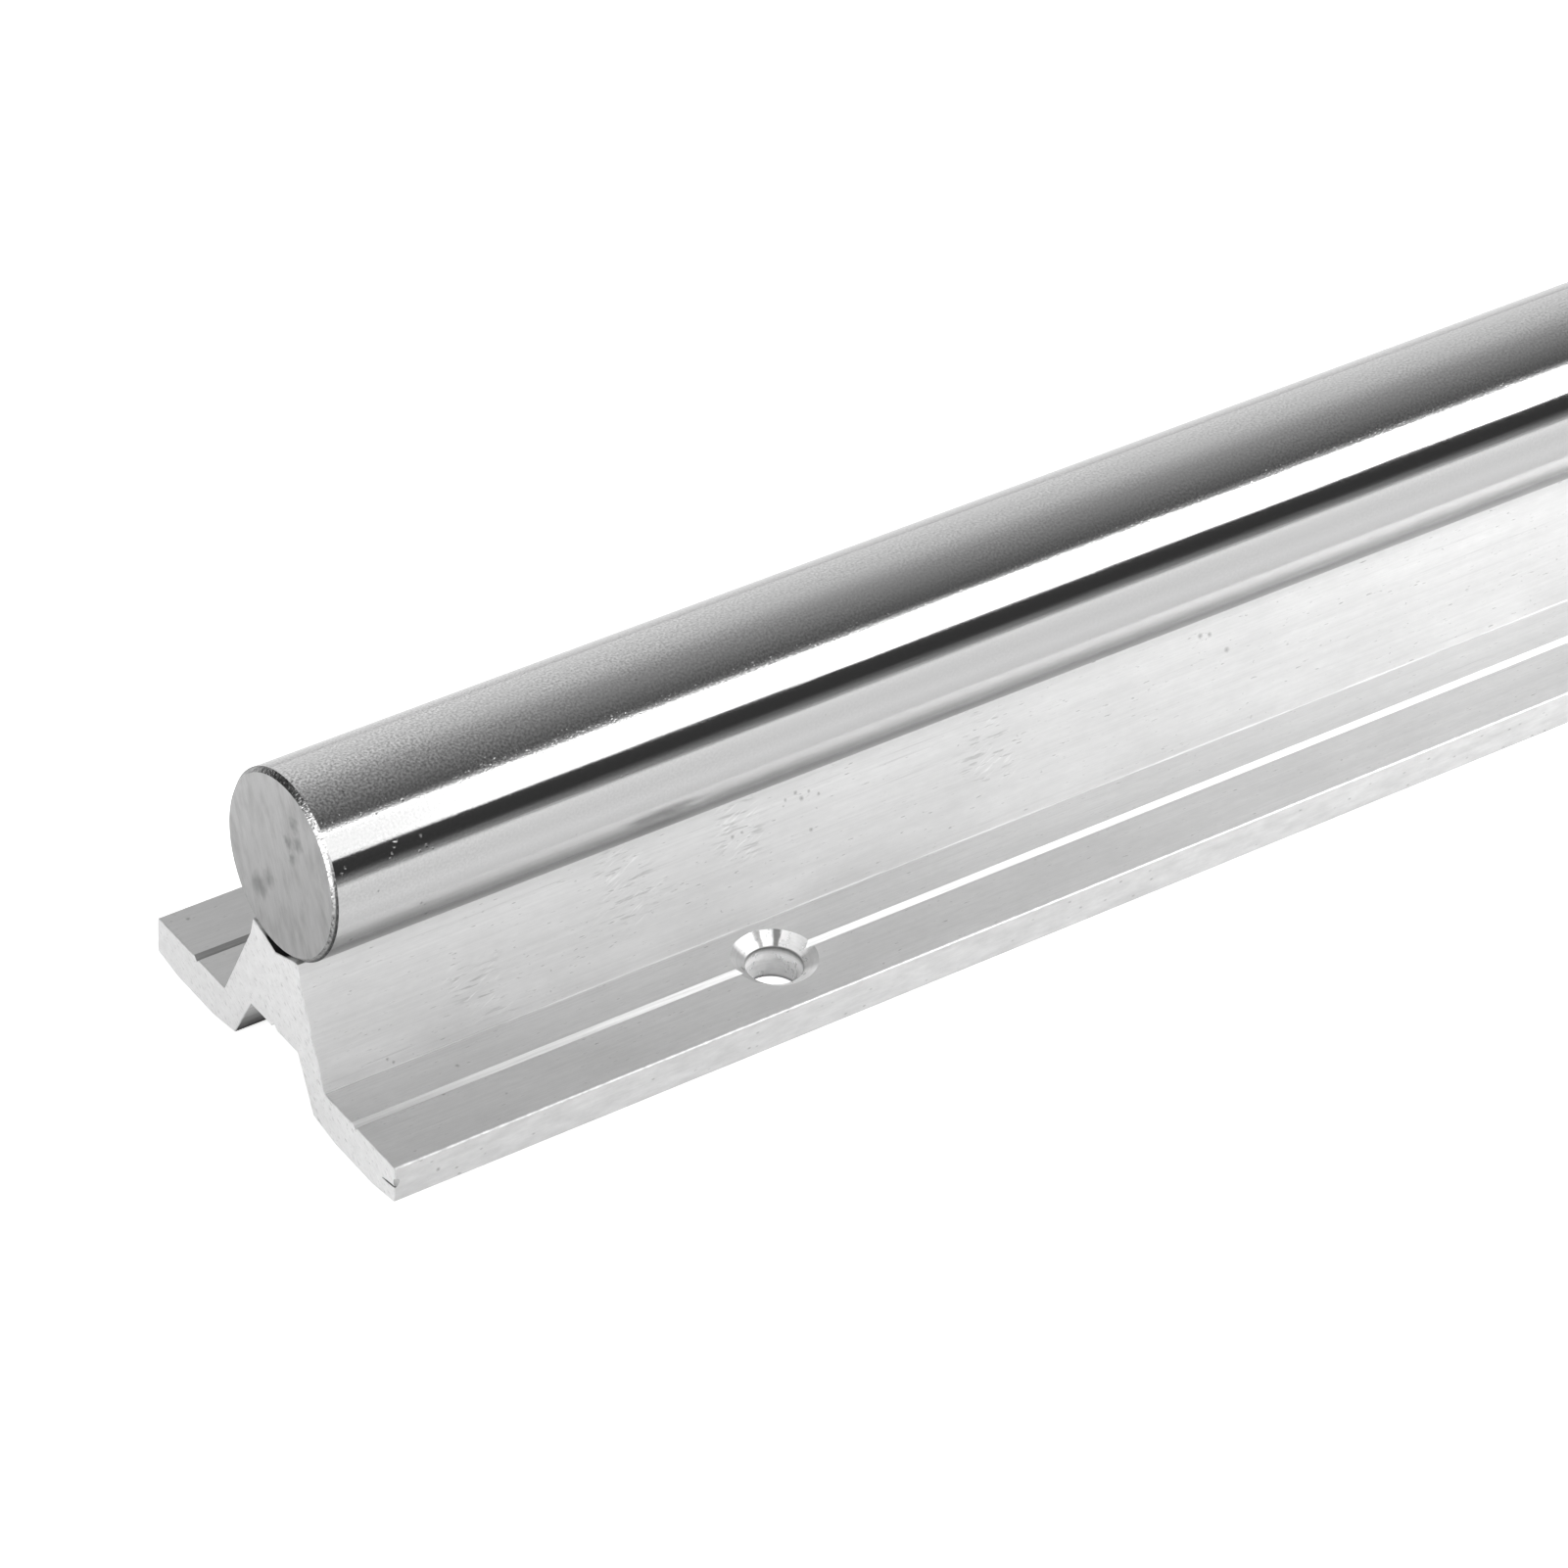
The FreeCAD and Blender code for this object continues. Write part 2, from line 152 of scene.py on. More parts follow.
class SupportSizes(bpy.types.PropertyGroup):
    """The aluminium extrusion that carries the shaft."""

    flange_height: length("Flange height", "Thickness of the side flanges", 5.0)
    sole_inner: length("Sole, inner edge", "Where the flat sole starts, from the middle", 11.8)
    sole_outer: length("Sole, outer edge", "Where the flat sole ends, from the middle", 18.3)
    inner_relief: length("Inner relief", "Height of the relief beside the recess", 0.75)
    outer_relief: length("Outer relief", "Height of the relief under the flange's edge", 0.65)
    pedestal_width: length("Pedestal width", "Width of the pedestal at its foot", 19.0)
    jaw_width: length("Jaw width", "Width of the pedestal under the peaks", 9.2)
    jaw_drop: length("Jaw drop", "Height of the peaks' outer faces", 2.0)
    top_width: length("Top width", "Width over both peaks", 8.4)
    peak_land: length("Peak land", "Width of each peak's flat top", 0.55)
    seat_angle: angle("Seat angle", "Slope of each side of the seat", 20.0)
    seat_clearance: length("Seat clearance", "Gap between the seat and the shaft", 0.02)
    recess_height: length("Recess height", "Height of the recess under the pedestal", 6.6)
    recess_ceiling: length("Recess ceiling", "Width of the recess's ceiling", 8.7)
    recess_mouth: length("Recess mouth", "Width of the recess's mouth", 14.9)
    scribe_depth: length("Scribe depth", "Depth of the drilling lines", 0.5)
    foot_fillet: length("Foot fillet", "Radius at the pedestal's foot", 0.25)
    edge_round: length("Edge round", "Radius of the flange's outer edges", 0.25)
    end_burr: length("End burr", "Width of the bright rim that the saw leaves", 0.1)
    row_spacing: length("Row spacing", "Distance between the rows of flange holes", 30.0)
    hole_pitch: length("Hole pitch", "Distance between holes along the rail", 150.0)
    hole_stations: IntProperty(name="Hole stations", description="Holes in each row", default=3)
    flange_hole: length("Flange hole", "Diameter of the flange holes", 6.0)
    countersink: length("Countersink", "Diameter of the countersinks", 9.0)
    countersink_angle: angle("Countersink angle", "Full angle of the countersinks", 108.0)
    chatter_lobes: IntProperty(name="Chatter lobes", description="Waves round a countersink",
                               default=11)
    chatter_height: length("Chatter height", "Half height of the countersink's waves", 0.025)
    screw_hole: length("Screw hole", "Diameter of the screws' clearance holes", 6.6)
    counterbore: length("Counterbore", "Diameter of the screws' counterbores", 11.0)
    head_seat: length("Head seat", "Height of the counterbores' seats", 7.4)


class ShaftSizes(bpy.types.PropertyGroup):
    """The round shaft."""

    chamfer: length("Chamfer", "Width of the chamfer at each end", 0.5)
    end_slant: angle("End slant", "How far the near end is out of square", 2.8)
    tapped_hole: length("Tapped hole", "Diameter of the holes in the underside", 6.06)
    tapping_top: length("Tapping top", "Height of the tapped holes' ends", 25.4)


class FinishColours(bpy.types.PropertyGroup):
    """Colours of the bare metals."""

    aluminium: grey("Aluminium", "Reflection of the extruded aluminium", 0.7)
    chrome: grey("Chrome", "Reflection of the plated shaft", 0.52)
    end_steel: grey("End steel", "Reflection of the shaft's bare ends", 0.56)
    screw_steel: grey("Screw steel", "Reflection of the screws", 0.45)


class StageSetup(bpy.types.PropertyGroup):
    """The camera, the floor and the lights."""

    lens: FloatProperty(name="Lens", description="Focal length in millimetres", default=158.47,
                        subtype="DISTANCE_CAMERA")
    azimuth: angle("Azimuth", "Direction of the camera round the rail", -37.096)
    elevation: angle("Elevation", "Height of the camera above the horizon", 38.021)
    roll: angle("Roll", "Turn of the camera about its own line of sight", 3.834)
    distance: length("Distance", "From the camera to the point that it looks at", 707.6)
    floor_size: length("Floor size", "Width of the floor", 30000.0)
    floor_colour: grey("Floor colour", "Colour of the floor", 0.9)


SETTINGS = {
    "rail_support_sizes": SupportSizes,
    "rail_shaft_sizes": ShaftSizes,
    "rail_colours": FinishColours,
    "rail_stage": StageSetup,
}


# Materials

class Nodes:
    """A node tree, written one node at a time. Patterns are in millimetres."""

    def __init__(self, tree):
        self.tree = tree
        self.coordinates = self.add("ShaderNodeTexCoord").outputs
        self.place = self.coordinates["Object"]

    def add(self, kind, settings=None, **inputs):
        """A node with its settings, and its inputs by name, as numbers or as other nodes' outputs."""
        node = self.tree.nodes.new(kind)
        for name, value in (settings or {}).items():
            setattr(node, name, value)
        for name, value in inputs.items():
            self.feed(node.inputs[name.replace("_", " ")], value)
        return node

    def ordered(self, kind, settings, *inputs):
        """A node with its settings, and its inputs in the order that the node has them."""
        node = self.add(kind, settings)
        for socket, value in zip(node.inputs, inputs):
            self.feed(socket, value)
        return node

    def feed(self, socket, value):
        """Sets one input, or links another node's output to it."""
        if isinstance(value, bpy.types.NodeSocket):
            self.tree.links.new(value, socket)
        else:
            socket.default_value = value

    def math(self, operation, *values):
        """One sum."""
        return self.ordered("ShaderNodeMath", {"operation": operation}, *values).outputs[0]

    def vector(self, operation, *values):
        """One sum of two vectors: its outputs are a Vector and a Value."""
        return self.ordered("ShaderNodeVectorMath", {"operation": operation}, *values).outputs

    def split(self, place):
        """The X, Y and Z of a place."""
        return self.add("ShaderNodeSeparateXYZ", Vector=place).outputs

    def scaled(self, place, x, y, z):
        """A place measured in pattern widths, given how many fit in a millimetre each way."""
        scale = (x * PER_MM, y * PER_MM, z * PER_MM)
        return self.add("ShaderNodeMapping", Vector=place, Scale=scale).outputs["Vector"]

    def turned(self, place, about_x, about_y=0.0):
        """A place turned about the rail's own direction, or about the direction across it."""
        turn = (radians(about_x), radians(about_y), 0.0)
        return self.add("ShaderNodeMapping", Vector=place, Rotation=turn).outputs["Vector"]

    def round_shaft(self):
        """The angle round the shaft, from straight up to the back, and the distance from its axis."""
        parts = self.split(self.place)
        height = self.math("SUBTRACT", parts["Z"], AXIS_HEIGHT)
        square = self.math("ADD", self.math("POWER", parts["Y"], 2.0), self.math("POWER", height, 2.0))
        return self.math("ARCTAN2", parts["Y"], height), self.math("SQRT", square)

    def strayed(self, place, width, reach):
        """A place pushed about at random, so that what is drawn there gets a ragged outline."""
        fit = 1 / width
        drift = self.add("ShaderNodeTexNoise", Vector=self.scaled(place, fit, fit, fit), Scale=1.0)
        centred = self.vector("SUBTRACT", drift.outputs["Color"], (0.5, 0.5, 0.5))["Vector"]
        push = self.vector("MULTIPLY", centred, (2 * reach * MM,) * 3)["Vector"]
        return self.vector("ADD", place, push)["Vector"]

    def noise(self, place, detail=2.0, roughness=0.5):
        """Soft random clouds, about 0.5 in the middle."""
        node = self.add("ShaderNodeTexNoise", Vector=place, Scale=1.0, Detail=detail,
                        Roughness=roughness)
        return node.outputs["Fac"]

    def spots(self, place, size):
        """Scattered round spots: 1 in the middle of each, 0 outside, about one in each cell."""
        node = self.add("ShaderNodeTexVoronoi", Vector=place, Scale=1.0, Randomness=1.0)
        return self.spread(node.outputs["Distance"], 0.0, size, 1.0, 0.0)

    def marks(self, place, marks):
        """Single dents: 1 in the middle of each, 0 outside, from places and widths in millimetres."""
        dents = []
        for *middle, width in marks:
            away = self.vector("DISTANCE", place, Vector(middle) * MM)["Value"]
            dents.append(self.spread(away, 0.0, width / 2 * MM, 1.0, 0.0))
        return self.strongest(*dents)

    def spread(self, value, low, high, to_low=0.0, to_high=1.0):
        """A value between low and high, stretched and held to the other two."""
        node = self.add("ShaderNodeMapRange", {"clamp": True}, Value=value, From_Min=low,
                        From_Max=high, To_Min=to_low, To_Max=to_high)
        return node.outputs["Result"]

    def over_length(self, value, ends, to_low=0.0, to_high=1.0):
        """The same between two places in millimetres."""
        low, high = ends
        return self.spread(value, low * MM, high * MM, to_low, to_high)

    def over_angle(self, value, ends, to_low=0.0, to_high=1.0):
        """The same between two angles in degrees."""
        low, high = ends
        return self.spread(value, radians(low), radians(high), to_low, to_high)

    def without(self, share):
        """What a share leaves of the whole."""
        return self.math("SUBTRACT", 1.0, share)

    def product(self, *values):
        """Values multiplied, one after another."""
        total = values[0]
        for value in values[1:]:
            total = self.math("MULTIPLY", total, value)
        return total

    def strongest(self, *values):
        """The largest of several values."""
        total = values[0]
        for value in values[1:]:
            total = self.math("MAXIMUM", total, value)
        return total

    def shade(self, factor, *stops):
        """A grey for each factor, from pairs of factor and brightness."""
        node = self.add("ShaderNodeValToRGB", Fac=factor)
        set_stops(node.color_ramp, stops)
        return node.outputs["Color"]

    def round_about(self, turn, stops):
        """A grey for each angle of the full turn, from pairs of degrees and brightness."""
        return self.shade(self.spread(turn, -pi, pi),
                          *[((degrees + 180.0) / 360.0, value) for degrees, value in stops])

    def mixed(self, share, first, second):
        """The first value where the share is 0, the second where it is 1."""
        return self.add("ShaderNodeMix", None, Factor=share, A=first, B=second).outputs["Result"]

    def tint(self, colour, grey_value):
        """The colour times a grey value."""
        settings = {"data_type": "RGBA", "blend_type": "MULTIPLY"}
        node = self.add("ShaderNodeMix", settings, Factor=1.0, A=(*colour, 1.0), B=grey_value)
        return node.outputs["Result"]

    def bump(self, height, depth, strength=1.0, **under):
        """A normal from a height between 0 and 1, whose full depth is in millimetres.

        A bump that lies under this one is given as Normal.
        """
        node = self.add("ShaderNodeBump", Height=height, Distance=depth * MM, Strength=strength,
                        **under)
        return node.outputs["Normal"]


class Finish(Nodes):
    """A material and its nodes."""

    def __init__(self, name):
        self.material = bpy.data.materials.new(name)
        self.material.use_nodes = True
        super().__init__(self.material.node_tree)
        self.shader = self.tree.nodes["Principled BSDF"]

    def set(self, **inputs):
        """The shader's own inputs."""
        for name, value in inputs.items():
            self.feed(self.shader.inputs[name.replace("_", " ")], value)


def set_stops(ramp, stops):
    """Fills a colour ramp with greys, from pairs of position and brightness."""
    while len(ramp.elements) > 1:
        ramp.elements.remove(ramp.elements[-1])
    for index, (position, brightness) in enumerate(stops):
        element = ramp.elements[0] if index == 0 else ramp.elements.new(position)
        element.position = position
        element.color = (brightness, brightness, brightness, 1.0)


# How metallic bare aluminium looks under its thin matt oxide.
BARE_METAL = 0.7

# Painted highlights and shade on the facets that the chattering countersink left on its cone: angle
# round the hole from the rail's own direction, in degrees, and brightness.
CONE_FACET_SHEEN = (
    (-180.0, 0.42),
    (-150.0, 0.45),
    (-130.0, 0.95),
    (-55.0, 0.95),
    (-40.0, 0.55),
    (-10.0, 0.55),
    (-2.0, 0.9),
    (46.0, 1.0),
    (49.0, 0.4),
    (56.0, 0.36),
    (60.0, 0.95),
    (75.0, 1.0),
    (78.0, 0.4),
    (83.0, 0.45),
    (88.0, 0.95),
    (118.0, 0.9),
    (130.0, 0.45),
    (180.0, 0.42),
)

# Heights in a flange hole over which its looks change, in millimetres.
# The first is where the painted shade at the wall's foot fades out.
WALL_FOOT_SHADE = (0.1, 0.4)
BAND_START = (2.3, 2.6)
BAND_END = (3.2, 2.8)
DARK_RING = (3.2, 3.7)
CONE_START = (3.9, 4.0)

# Heights in the recess, and places across the seat, over which their painted shade turns into painted
# light, and the height above which a face belongs to the seat.
RECESS_DEPTH = (0.8, 5.5)
SEAT_DEPTH = (1.7, 2.7)
SEAT_ABOVE = 10.0

# Places across the pedestal beyond which the back of the support gets painted shade.
BACK_SHADE = (8.0, 10.0)

# Angles round the shaft over which its looks change, in degrees from straight up, among them its
# painted reflection and painted shade low down.
POLISHED = (-44.0, -34.0)
# A painted brighter reflection, then painted shade on the underside, down to the share below.
BRIGHT_UNDER = (80.0, 97.0)
ROUGH_UNDER = (86.0, 100.0)
SHADE_BELOW_ANGLES = (106.0, 117.0)
SHADE_BELOW_SHARE = 0.36

# The same on its chamfer, with the distances from the axis, in millimetres, where its rim starts.
CHAMFER_LOWER = (62.0, 85.0)
CHAMFER_RIM = (40.0, 60.0)
# Beyond these angles the chamfer's back gets painted shade.
CHAMFER_DARK = (-5.0, 20.0)
RIM_START = (9.7, 9.82)

# How far the near end's looks reach along the rail, in millimetres: the painted shade in the inner
# corners, and the coarser chrome.
CORNER_SHADE_REACH = 45.0
COARSE_CHROME = 60.0

# How far the looks in a flange hole stray: the painted sheen of the facets by an angle in radians, and
# the wall by millimetres.
FACETS_STRAY = 0.2
WALL_STRAY = 0.6

# How much brighter the sawn face is than the extruded one: partly its newly cut metal, partly painted
# light.
FRESH_AND_LIT_SAWN = 1.32

# How steeply the rub marks, the saw's lines and the grinding lines run, in degrees.
RUB_SLANT = 20.0
SAW_SLANT = -32.0
GRINDING_SLANT = -62.0


def extruded_finish(colour):
    """Bare extruded aluminium: die lines along the rail, rub marks, scratches and pits."""
    f = Finish("extruded_aluminium")
    broad = f.noise(f.scaled(f.place, 0.003, 1.1, 1.1), 3.0, 0.6)
    lines = f.noise(f.scaled(f.place, 0.01, 5.0, 5.0), 3.0, 0.6)
    clouds = f.noise(f.scaled(f.place, 0.08, 0.15, 0.15), 4.0, 0.65)
    mottle = f.noise(f.scaled(f.place, 0.5, 1.6, 1.6), 3.0, 0.6)
    value = f.product(f.spread(lines, 0.3, 0.7, 0.97, 1.03),
                      f.spread(broad, 0.3, 0.7, 0.97, 1.03),
                      f.spread(clouds, 0.35, 0.65, 0.97, 1.03),
                      f.spread(mottle, 0.3, 0.7, 0.97, 1.03))

    # Bright and dark strokes where the flank was rubbed
    handled = f.spread(f.marks(f.strayed(f.place, 6.0, 4.0), RUBBED), 0.0, 0.5)
    rubbed = f.noise(f.scaled(f.turned(f.place, 0.0, RUB_SLANT), 0.3, 0.0, 3.2), 2.0, 0.6)
    rub = f.product(f.spread(rubbed, 0.56, 0.66), handled)
    dragged = f.noise(f.scaled(f.place, 0.4, 3.0, 3.0), 2.0)
    drag = f.product(f.spread(dragged, 0.57, 0.64), handled)
    value = f.math("ADD", value, f.product(rub, 0.16))
    value = f.math("SUBTRACT", value, f.product(drag, 0.24))
    # Painted shade over the back of the support.
    value = f.product(value, f.over_length(f.split(f.place)["Y"], BACK_SHADE, 1.0, 0.84))

    # Scratches along the rail, pits, short dashes and the single dents
    scratches = f.noise(f.scaled(f.place, 0.06, 4.0, 4.0), 2.0)
    scratch = f.product(f.spread(scratches, 0.64, 0.74), f.spread(clouds, 0.45, 0.6))
    pit = f.spots(f.scaled(f.strayed(f.place, 0.5, 0.3), 0.35, 0.6, 0.6), 0.07)
    dashes = f.noise(f.scaled(f.place, 0.9, 6.0, 6.0), 1.0)
    dash = f.product(f.spread(dashes, 0.66, 0.74), f.spread(mottle, 0.5, 0.62))
    placed = f.marks(f.strayed(f.place, 0.3, 0.12), SUPPORT_MARKS)
    marks = f.strongest(f.product(scratch, 0.14), f.product(pit, 0.4), f.product(dash, 0.42),
                        f.product(placed, 0.5))

    f.set(Base_Color=f.tint(colour, f.product(value, f.without(marks))), Metallic=BARE_METAL,
          Roughness=f.spread(clouds, 0.3, 0.7, 0.4, 0.48))
    ridges = f.math("ADD", lines, f.spread(scratches, 0.74, 0.64, 0.0, 0.3))
    f.set(Normal=f.bump(f.math("SUBTRACT", ridges, dash), 0.005))
    return f.material


def edge_finish(colour):
    """The flange's outer edge: a soft mottle with pits and only faint lines."""
    f = Finish("edge_aluminium")
    lines = f.noise(f.scaled(f.place, 0.05, 3.0, 3.0), 2.0)
    mottle = f.noise(f.scaled(f.place, 0.35, 1.0, 1.0), 4.0, 0.6)
    pit = f.product(f.spots(f.scaled(f.place, 0.5, 0.9, 0.9), 0.14), 0.5)
    marks = f.strongest(pit, f.product(f.marks(f.place, SUPPORT_MARKS), 0.5))
    value = f.product(f.spread(lines, 0.3, 0.7, 0.97, 1.02),
                      f.spread(mottle, 0.3, 0.7, 0.9, 1.08), f.without(marks))
    f.set(Base_Color=f.tint(colour, value), Metallic=BARE_METAL, Roughness=0.46,
          Normal=f.bump(f.math("SUBTRACT", mottle, pit), 0.02))
    return f.material


def hidden_shaded_finish(colour):
    """Recess and seat: matt, with dark die lines, and painted shade low in the recess and under the
    shaft.
    """
    f = Finish("hidden_shaded_aluminium")
    lines = f.noise(f.scaled(f.place, 0.02, 2.5, 2.5), 3.0, 0.6)
    parts = f.split(f.place)
    # Painted shade and light: the recess runs from dark at its bottom to brighter at its top, and the
    # seat from dark under the shaft to brighter at its sides.
    recess = f.over_length(parts["Z"], RECESS_DEPTH, 0.06, 1.3)
    seat = f.over_length(f.math("ABSOLUTE", parts["Y"]), SEAT_DEPTH, 0.04, 1.3)
    in_seat = f.math("GREATER_THAN", parts["Z"], SEAT_ABOVE * MM)
    value = f.product(f.mixed(in_seat, recess, seat), f.spread(lines, 0.3, 0.7, 0.8, 1.2))
    f.set(Base_Color=f.tint(colour, value), Metallic=BARE_METAL, Roughness=0.6,
          Normal=f.bump(lines, 0.01))
    return f.material


def shaded_corner_finish(colour, name, roughness, near_end, further):
    """Narrow inner corners: rougher than the flats, with painted shade at the near end that fades
    further on.
    """
    f = Finish(name)
    streaks = f.noise(f.scaled(f.place, 0.08, 4.0, 4.0), 3.0, 0.6)
    # Painted shade at the near end. Where further passes 1, as in the scribe, there is painted light
    # beyond it.
    dullness_and_shade = f.spread(f.split(f.place)["X"], SUPPORT_LOW.x, SUPPORT_LOW.x + CORNER_SHADE_REACH * MM,
                    near_end, further)
    value = f.product(f.spread(streaks, 0.3, 0.7, 0.85, 1.12), dullness_and_shade)
    f.set(Base_Color=f.tint(colour, value), Metallic=BARE_METAL, Roughness=roughness,
          Normal=f.bump(streaks, 0.015))
    return f.material


def sawn_finish(colour):
    """A sawn end: pale, with short darker flecks where the saw's teeth tore."""
    f = Finish("sawn_aluminium")
    along_saw = f.turned(f.place, SAW_SLANT)
    saw_lines = f.noise(f.scaled(along_saw, 1.0, 0.9, 5.0), 3.0, 0.6)
    flecks = f.spread(f.noise(f.scaled(along_saw, 1.0, 1.1, 4.0), 2.0), 0.6, 0.7)
    mottle = f.noise(f.scaled(f.place, 1.0, 0.7, 0.7), 3.0, 0.6)
    pit = f.spots(f.scaled(f.place, 1.0, 1.6, 1.6), 0.12)
    torn = f.strongest(f.product(flecks, 0.24), f.product(pit, 0.4))
    value = f.product(f.spread(saw_lines, 0.3, 0.7, 0.95, 1.04),
                      f.spread(mottle, 0.3, 0.7, 0.96, 1.03), f.without(torn))
    # Brighter than the extruded faces: partly newly cut metal, partly painted light on the end.
    fresh_and_lit = [min(1.0, FRESH_AND_LIT_SAWN * part) for part in colour]
    f.set(Base_Color=f.tint(fresh_and_lit, value), Metallic=BARE_METAL, Roughness=0.65,
          Normal=f.bump(f.math("SUBTRACT", saw_lines, torn), 0.02, 0.5))
    return f.material


def burr_and_highlight_finish(colour):
    """The rim that the saw turns up along the end's edges, also used on the flange's rounded edges.

    Glossy, and brighter: partly bright new metal, partly a painted highlight.
    """
    f = Finish("burr_and_highlight_aluminium")
    break_up = f.noise(f.scaled(f.place, 1.0, 0.8, 0.8), 3.0)
    # Brighter than the bare colour: partly the burrs' new metal, partly a painted highlight.
    f.set(Base_Color=f.tint(colour, f.spread(break_up, 0.35, 0.65, 0.95, 1.3)),
          Metallic=BARE_METAL, Roughness=0.3, Normal=f.bump(break_up, 0.02, 0.5))
    return f.material


def drilled_finish(name, colour, sizes):
    """Drilled metal: turned lines, and a darker ring under the cone's edge.

    Painted highlights and shade mark the cone's chatter, and painted shade marks the wall's foot.
    """
    f = Finish(name)
    feed_lines = f.noise(f.scaled(f.place, 0.4, 0.4, 7.0), 2.0)
    patches = f.noise(f.scaled(f.place, 0.9, 0.9, 0.7), 3.0)
    stray = f.math("SUBTRACT", patches, 0.5)
    parts = f.split(f.place)

    # Painted highlights and shade on the cone, by the angle round the nearest flange hole
    along = f.math("WRAP", parts["X"], sizes.hole_pitch / 2, -sizes.hole_pitch / 2)
    across = f.math("SUBTRACT", sizes.row_spacing / 2, f.math("ABSOLUTE", parts["Y"]))
    turn = f.math("ADD", f.math("ARCTAN2", across, along), f.product(stray, FACETS_STRAY))
    facet_sheen = f.round_about(turn, CONE_FACET_SHEEN)

    # The wall by its height: painted shade at its foot, a bright band, and a darker ring under the cone
    cone = f.over_length(parts["Z"], CONE_START)
    wall = f.math("ADD", parts["Z"], f.product(stray, WALL_STRAY * MM))
    ring = f.product(f.over_length(wall, DARK_RING), f.without(cone))
    band = f.product(f.over_length(wall, BAND_START), f.over_length(wall, BAND_END))
    value = f.product(f.spread(feed_lines, 0.3, 0.7, 0.93, 1.07),
                      f.spread(patches, 0.35, 0.65, 0.93, 1.07),
                      f.without(f.product(ring, 0.75)))
    value = f.math("ADD", value, f.product(band, 0.3))
    # Painted shade along the wall's foot, where it meets the floor.
    value = f.product(value, f.over_length(parts["Z"], WALL_FOOT_SHADE, 0.35, 1.0))

    # Painted highlights and shade on the cone, and a flat brighter tone on the bore.
    tone_and_sheen = f.mixed(cone, 1.2, f.product(facet_sheen, 1.4))
    f.set(Base_Color=f.tint(colour, f.product(value, tone_and_sheen)),
          Metallic=f.spread(tone_and_sheen, 0.6, 1.3, BARE_METAL, 0.3),
          Roughness=f.spread(patches, 0.35, 0.65, 0.26, 0.36),
          Normal=f.bump(feed_lines, 0.012, 0.5))
    return f.material


def chrome_finish(colour):
    """Ground and plated steel: fine grain where it was polished less, flow lines, small dents.

    Low down it has a painted brighter reflection, and painted shade under that over the seat.
    """
    f = Finish("ground_chrome")
    turn, _ = f.round_shaft()
    under = f.math("ABSOLUTE", turn)
    along = f.split(f.place)["X"]
    flat = f.add("ShaderNodeCombineXYZ", X=along, Y=f.product(turn, SHAFT_RADIUS)).outputs["Vector"]

    # How coarse the grain is, and its bright and dark specks
    patches = f.spread(f.noise(f.scaled(flat, 0.06, 0.2, 1.0), 2.0), 0.35, 0.6, 0.45, 1.0)
    near_end = f.spread(along, SHAFT_LOW.x, SHAFT_LOW.x + COARSE_CHROME * MM, 1.0, 0.45)
    coarse = f.product(patches, near_end, f.over_angle(turn, POLISHED, 0.16, 1.0))
    grain = f.noise(f.scaled(flat, 3.6, 4.0, 1.0), 2.0, 0.6)
    sparkle = f.product(f.spots(f.scaled(f.strayed(flat, 0.4, 0.2), 2.2, 2.2, 1.0), 0.26), coarse)
    specks = f.spread(f.noise(f.scaled(flat, 3.6, 3.6, 1.0), 1.0), 0.3, 0.7)
    specks = f.product(f.math("SUBTRACT", specks, 0.5), coarse)

    # Dents, scattered and single
    pit = f.spots(f.scaled(flat, 0.35, 0.35, 1.0), 0.035)
    arc_per_degree = radians(SHAFT_RADIUS * PER_MM)
    places = [(x, -degrees * arc_per_degree, 0.0, width) for x, degrees, width in SHAFT_MARKS]
    dent = f.strongest(f.product(pit, 0.5), f.marks(f.strayed(flat, 0.2, 0.16), places))

    # Painted shade on the underside over the seat, and a painted brighter reflection above it.
    shade_below = f.over_angle(under, SHADE_BELOW_ANGLES, 1.0, SHADE_BELOW_SHARE)
    value = f.product(shade_below, f.spread(dent, 0.0, 0.6, 1.0, 0.45),
                      f.over_angle(under, BRIGHT_UNDER, 1.0, 1.25))
    value = f.math("ADD", value, f.product(specks, 0.9))
    dullness_and_shade = f.product(f.without(f.spread(shade_below, SHADE_BELOW_SHARE, 1.0)), 0.3)
    f.set(Base_Color=f.tint(colour, value), Metallic=1.0,
          Roughness=f.strongest(dullness_and_shade, f.spread(coarse, 0.0, 1.0, 0.08, 0.14),
                                f.over_angle(under, ROUGH_UNDER, 0.0, 0.2)))

    # Flow lines, then the grain on them, then the dents
    waved = f.bump(f.noise(f.scaled(flat, 0.03, 0.9, 1.0), 3.0, 0.55), 0.008)
    rough = f.math("SUBTRACT", f.product(grain, coarse), sparkle)
    grained = f.bump(rough, 0.014, Normal=waved)
    f.set(Normal=f.bump(f.without(dent), 0.02, Normal=grained))
    return f.material


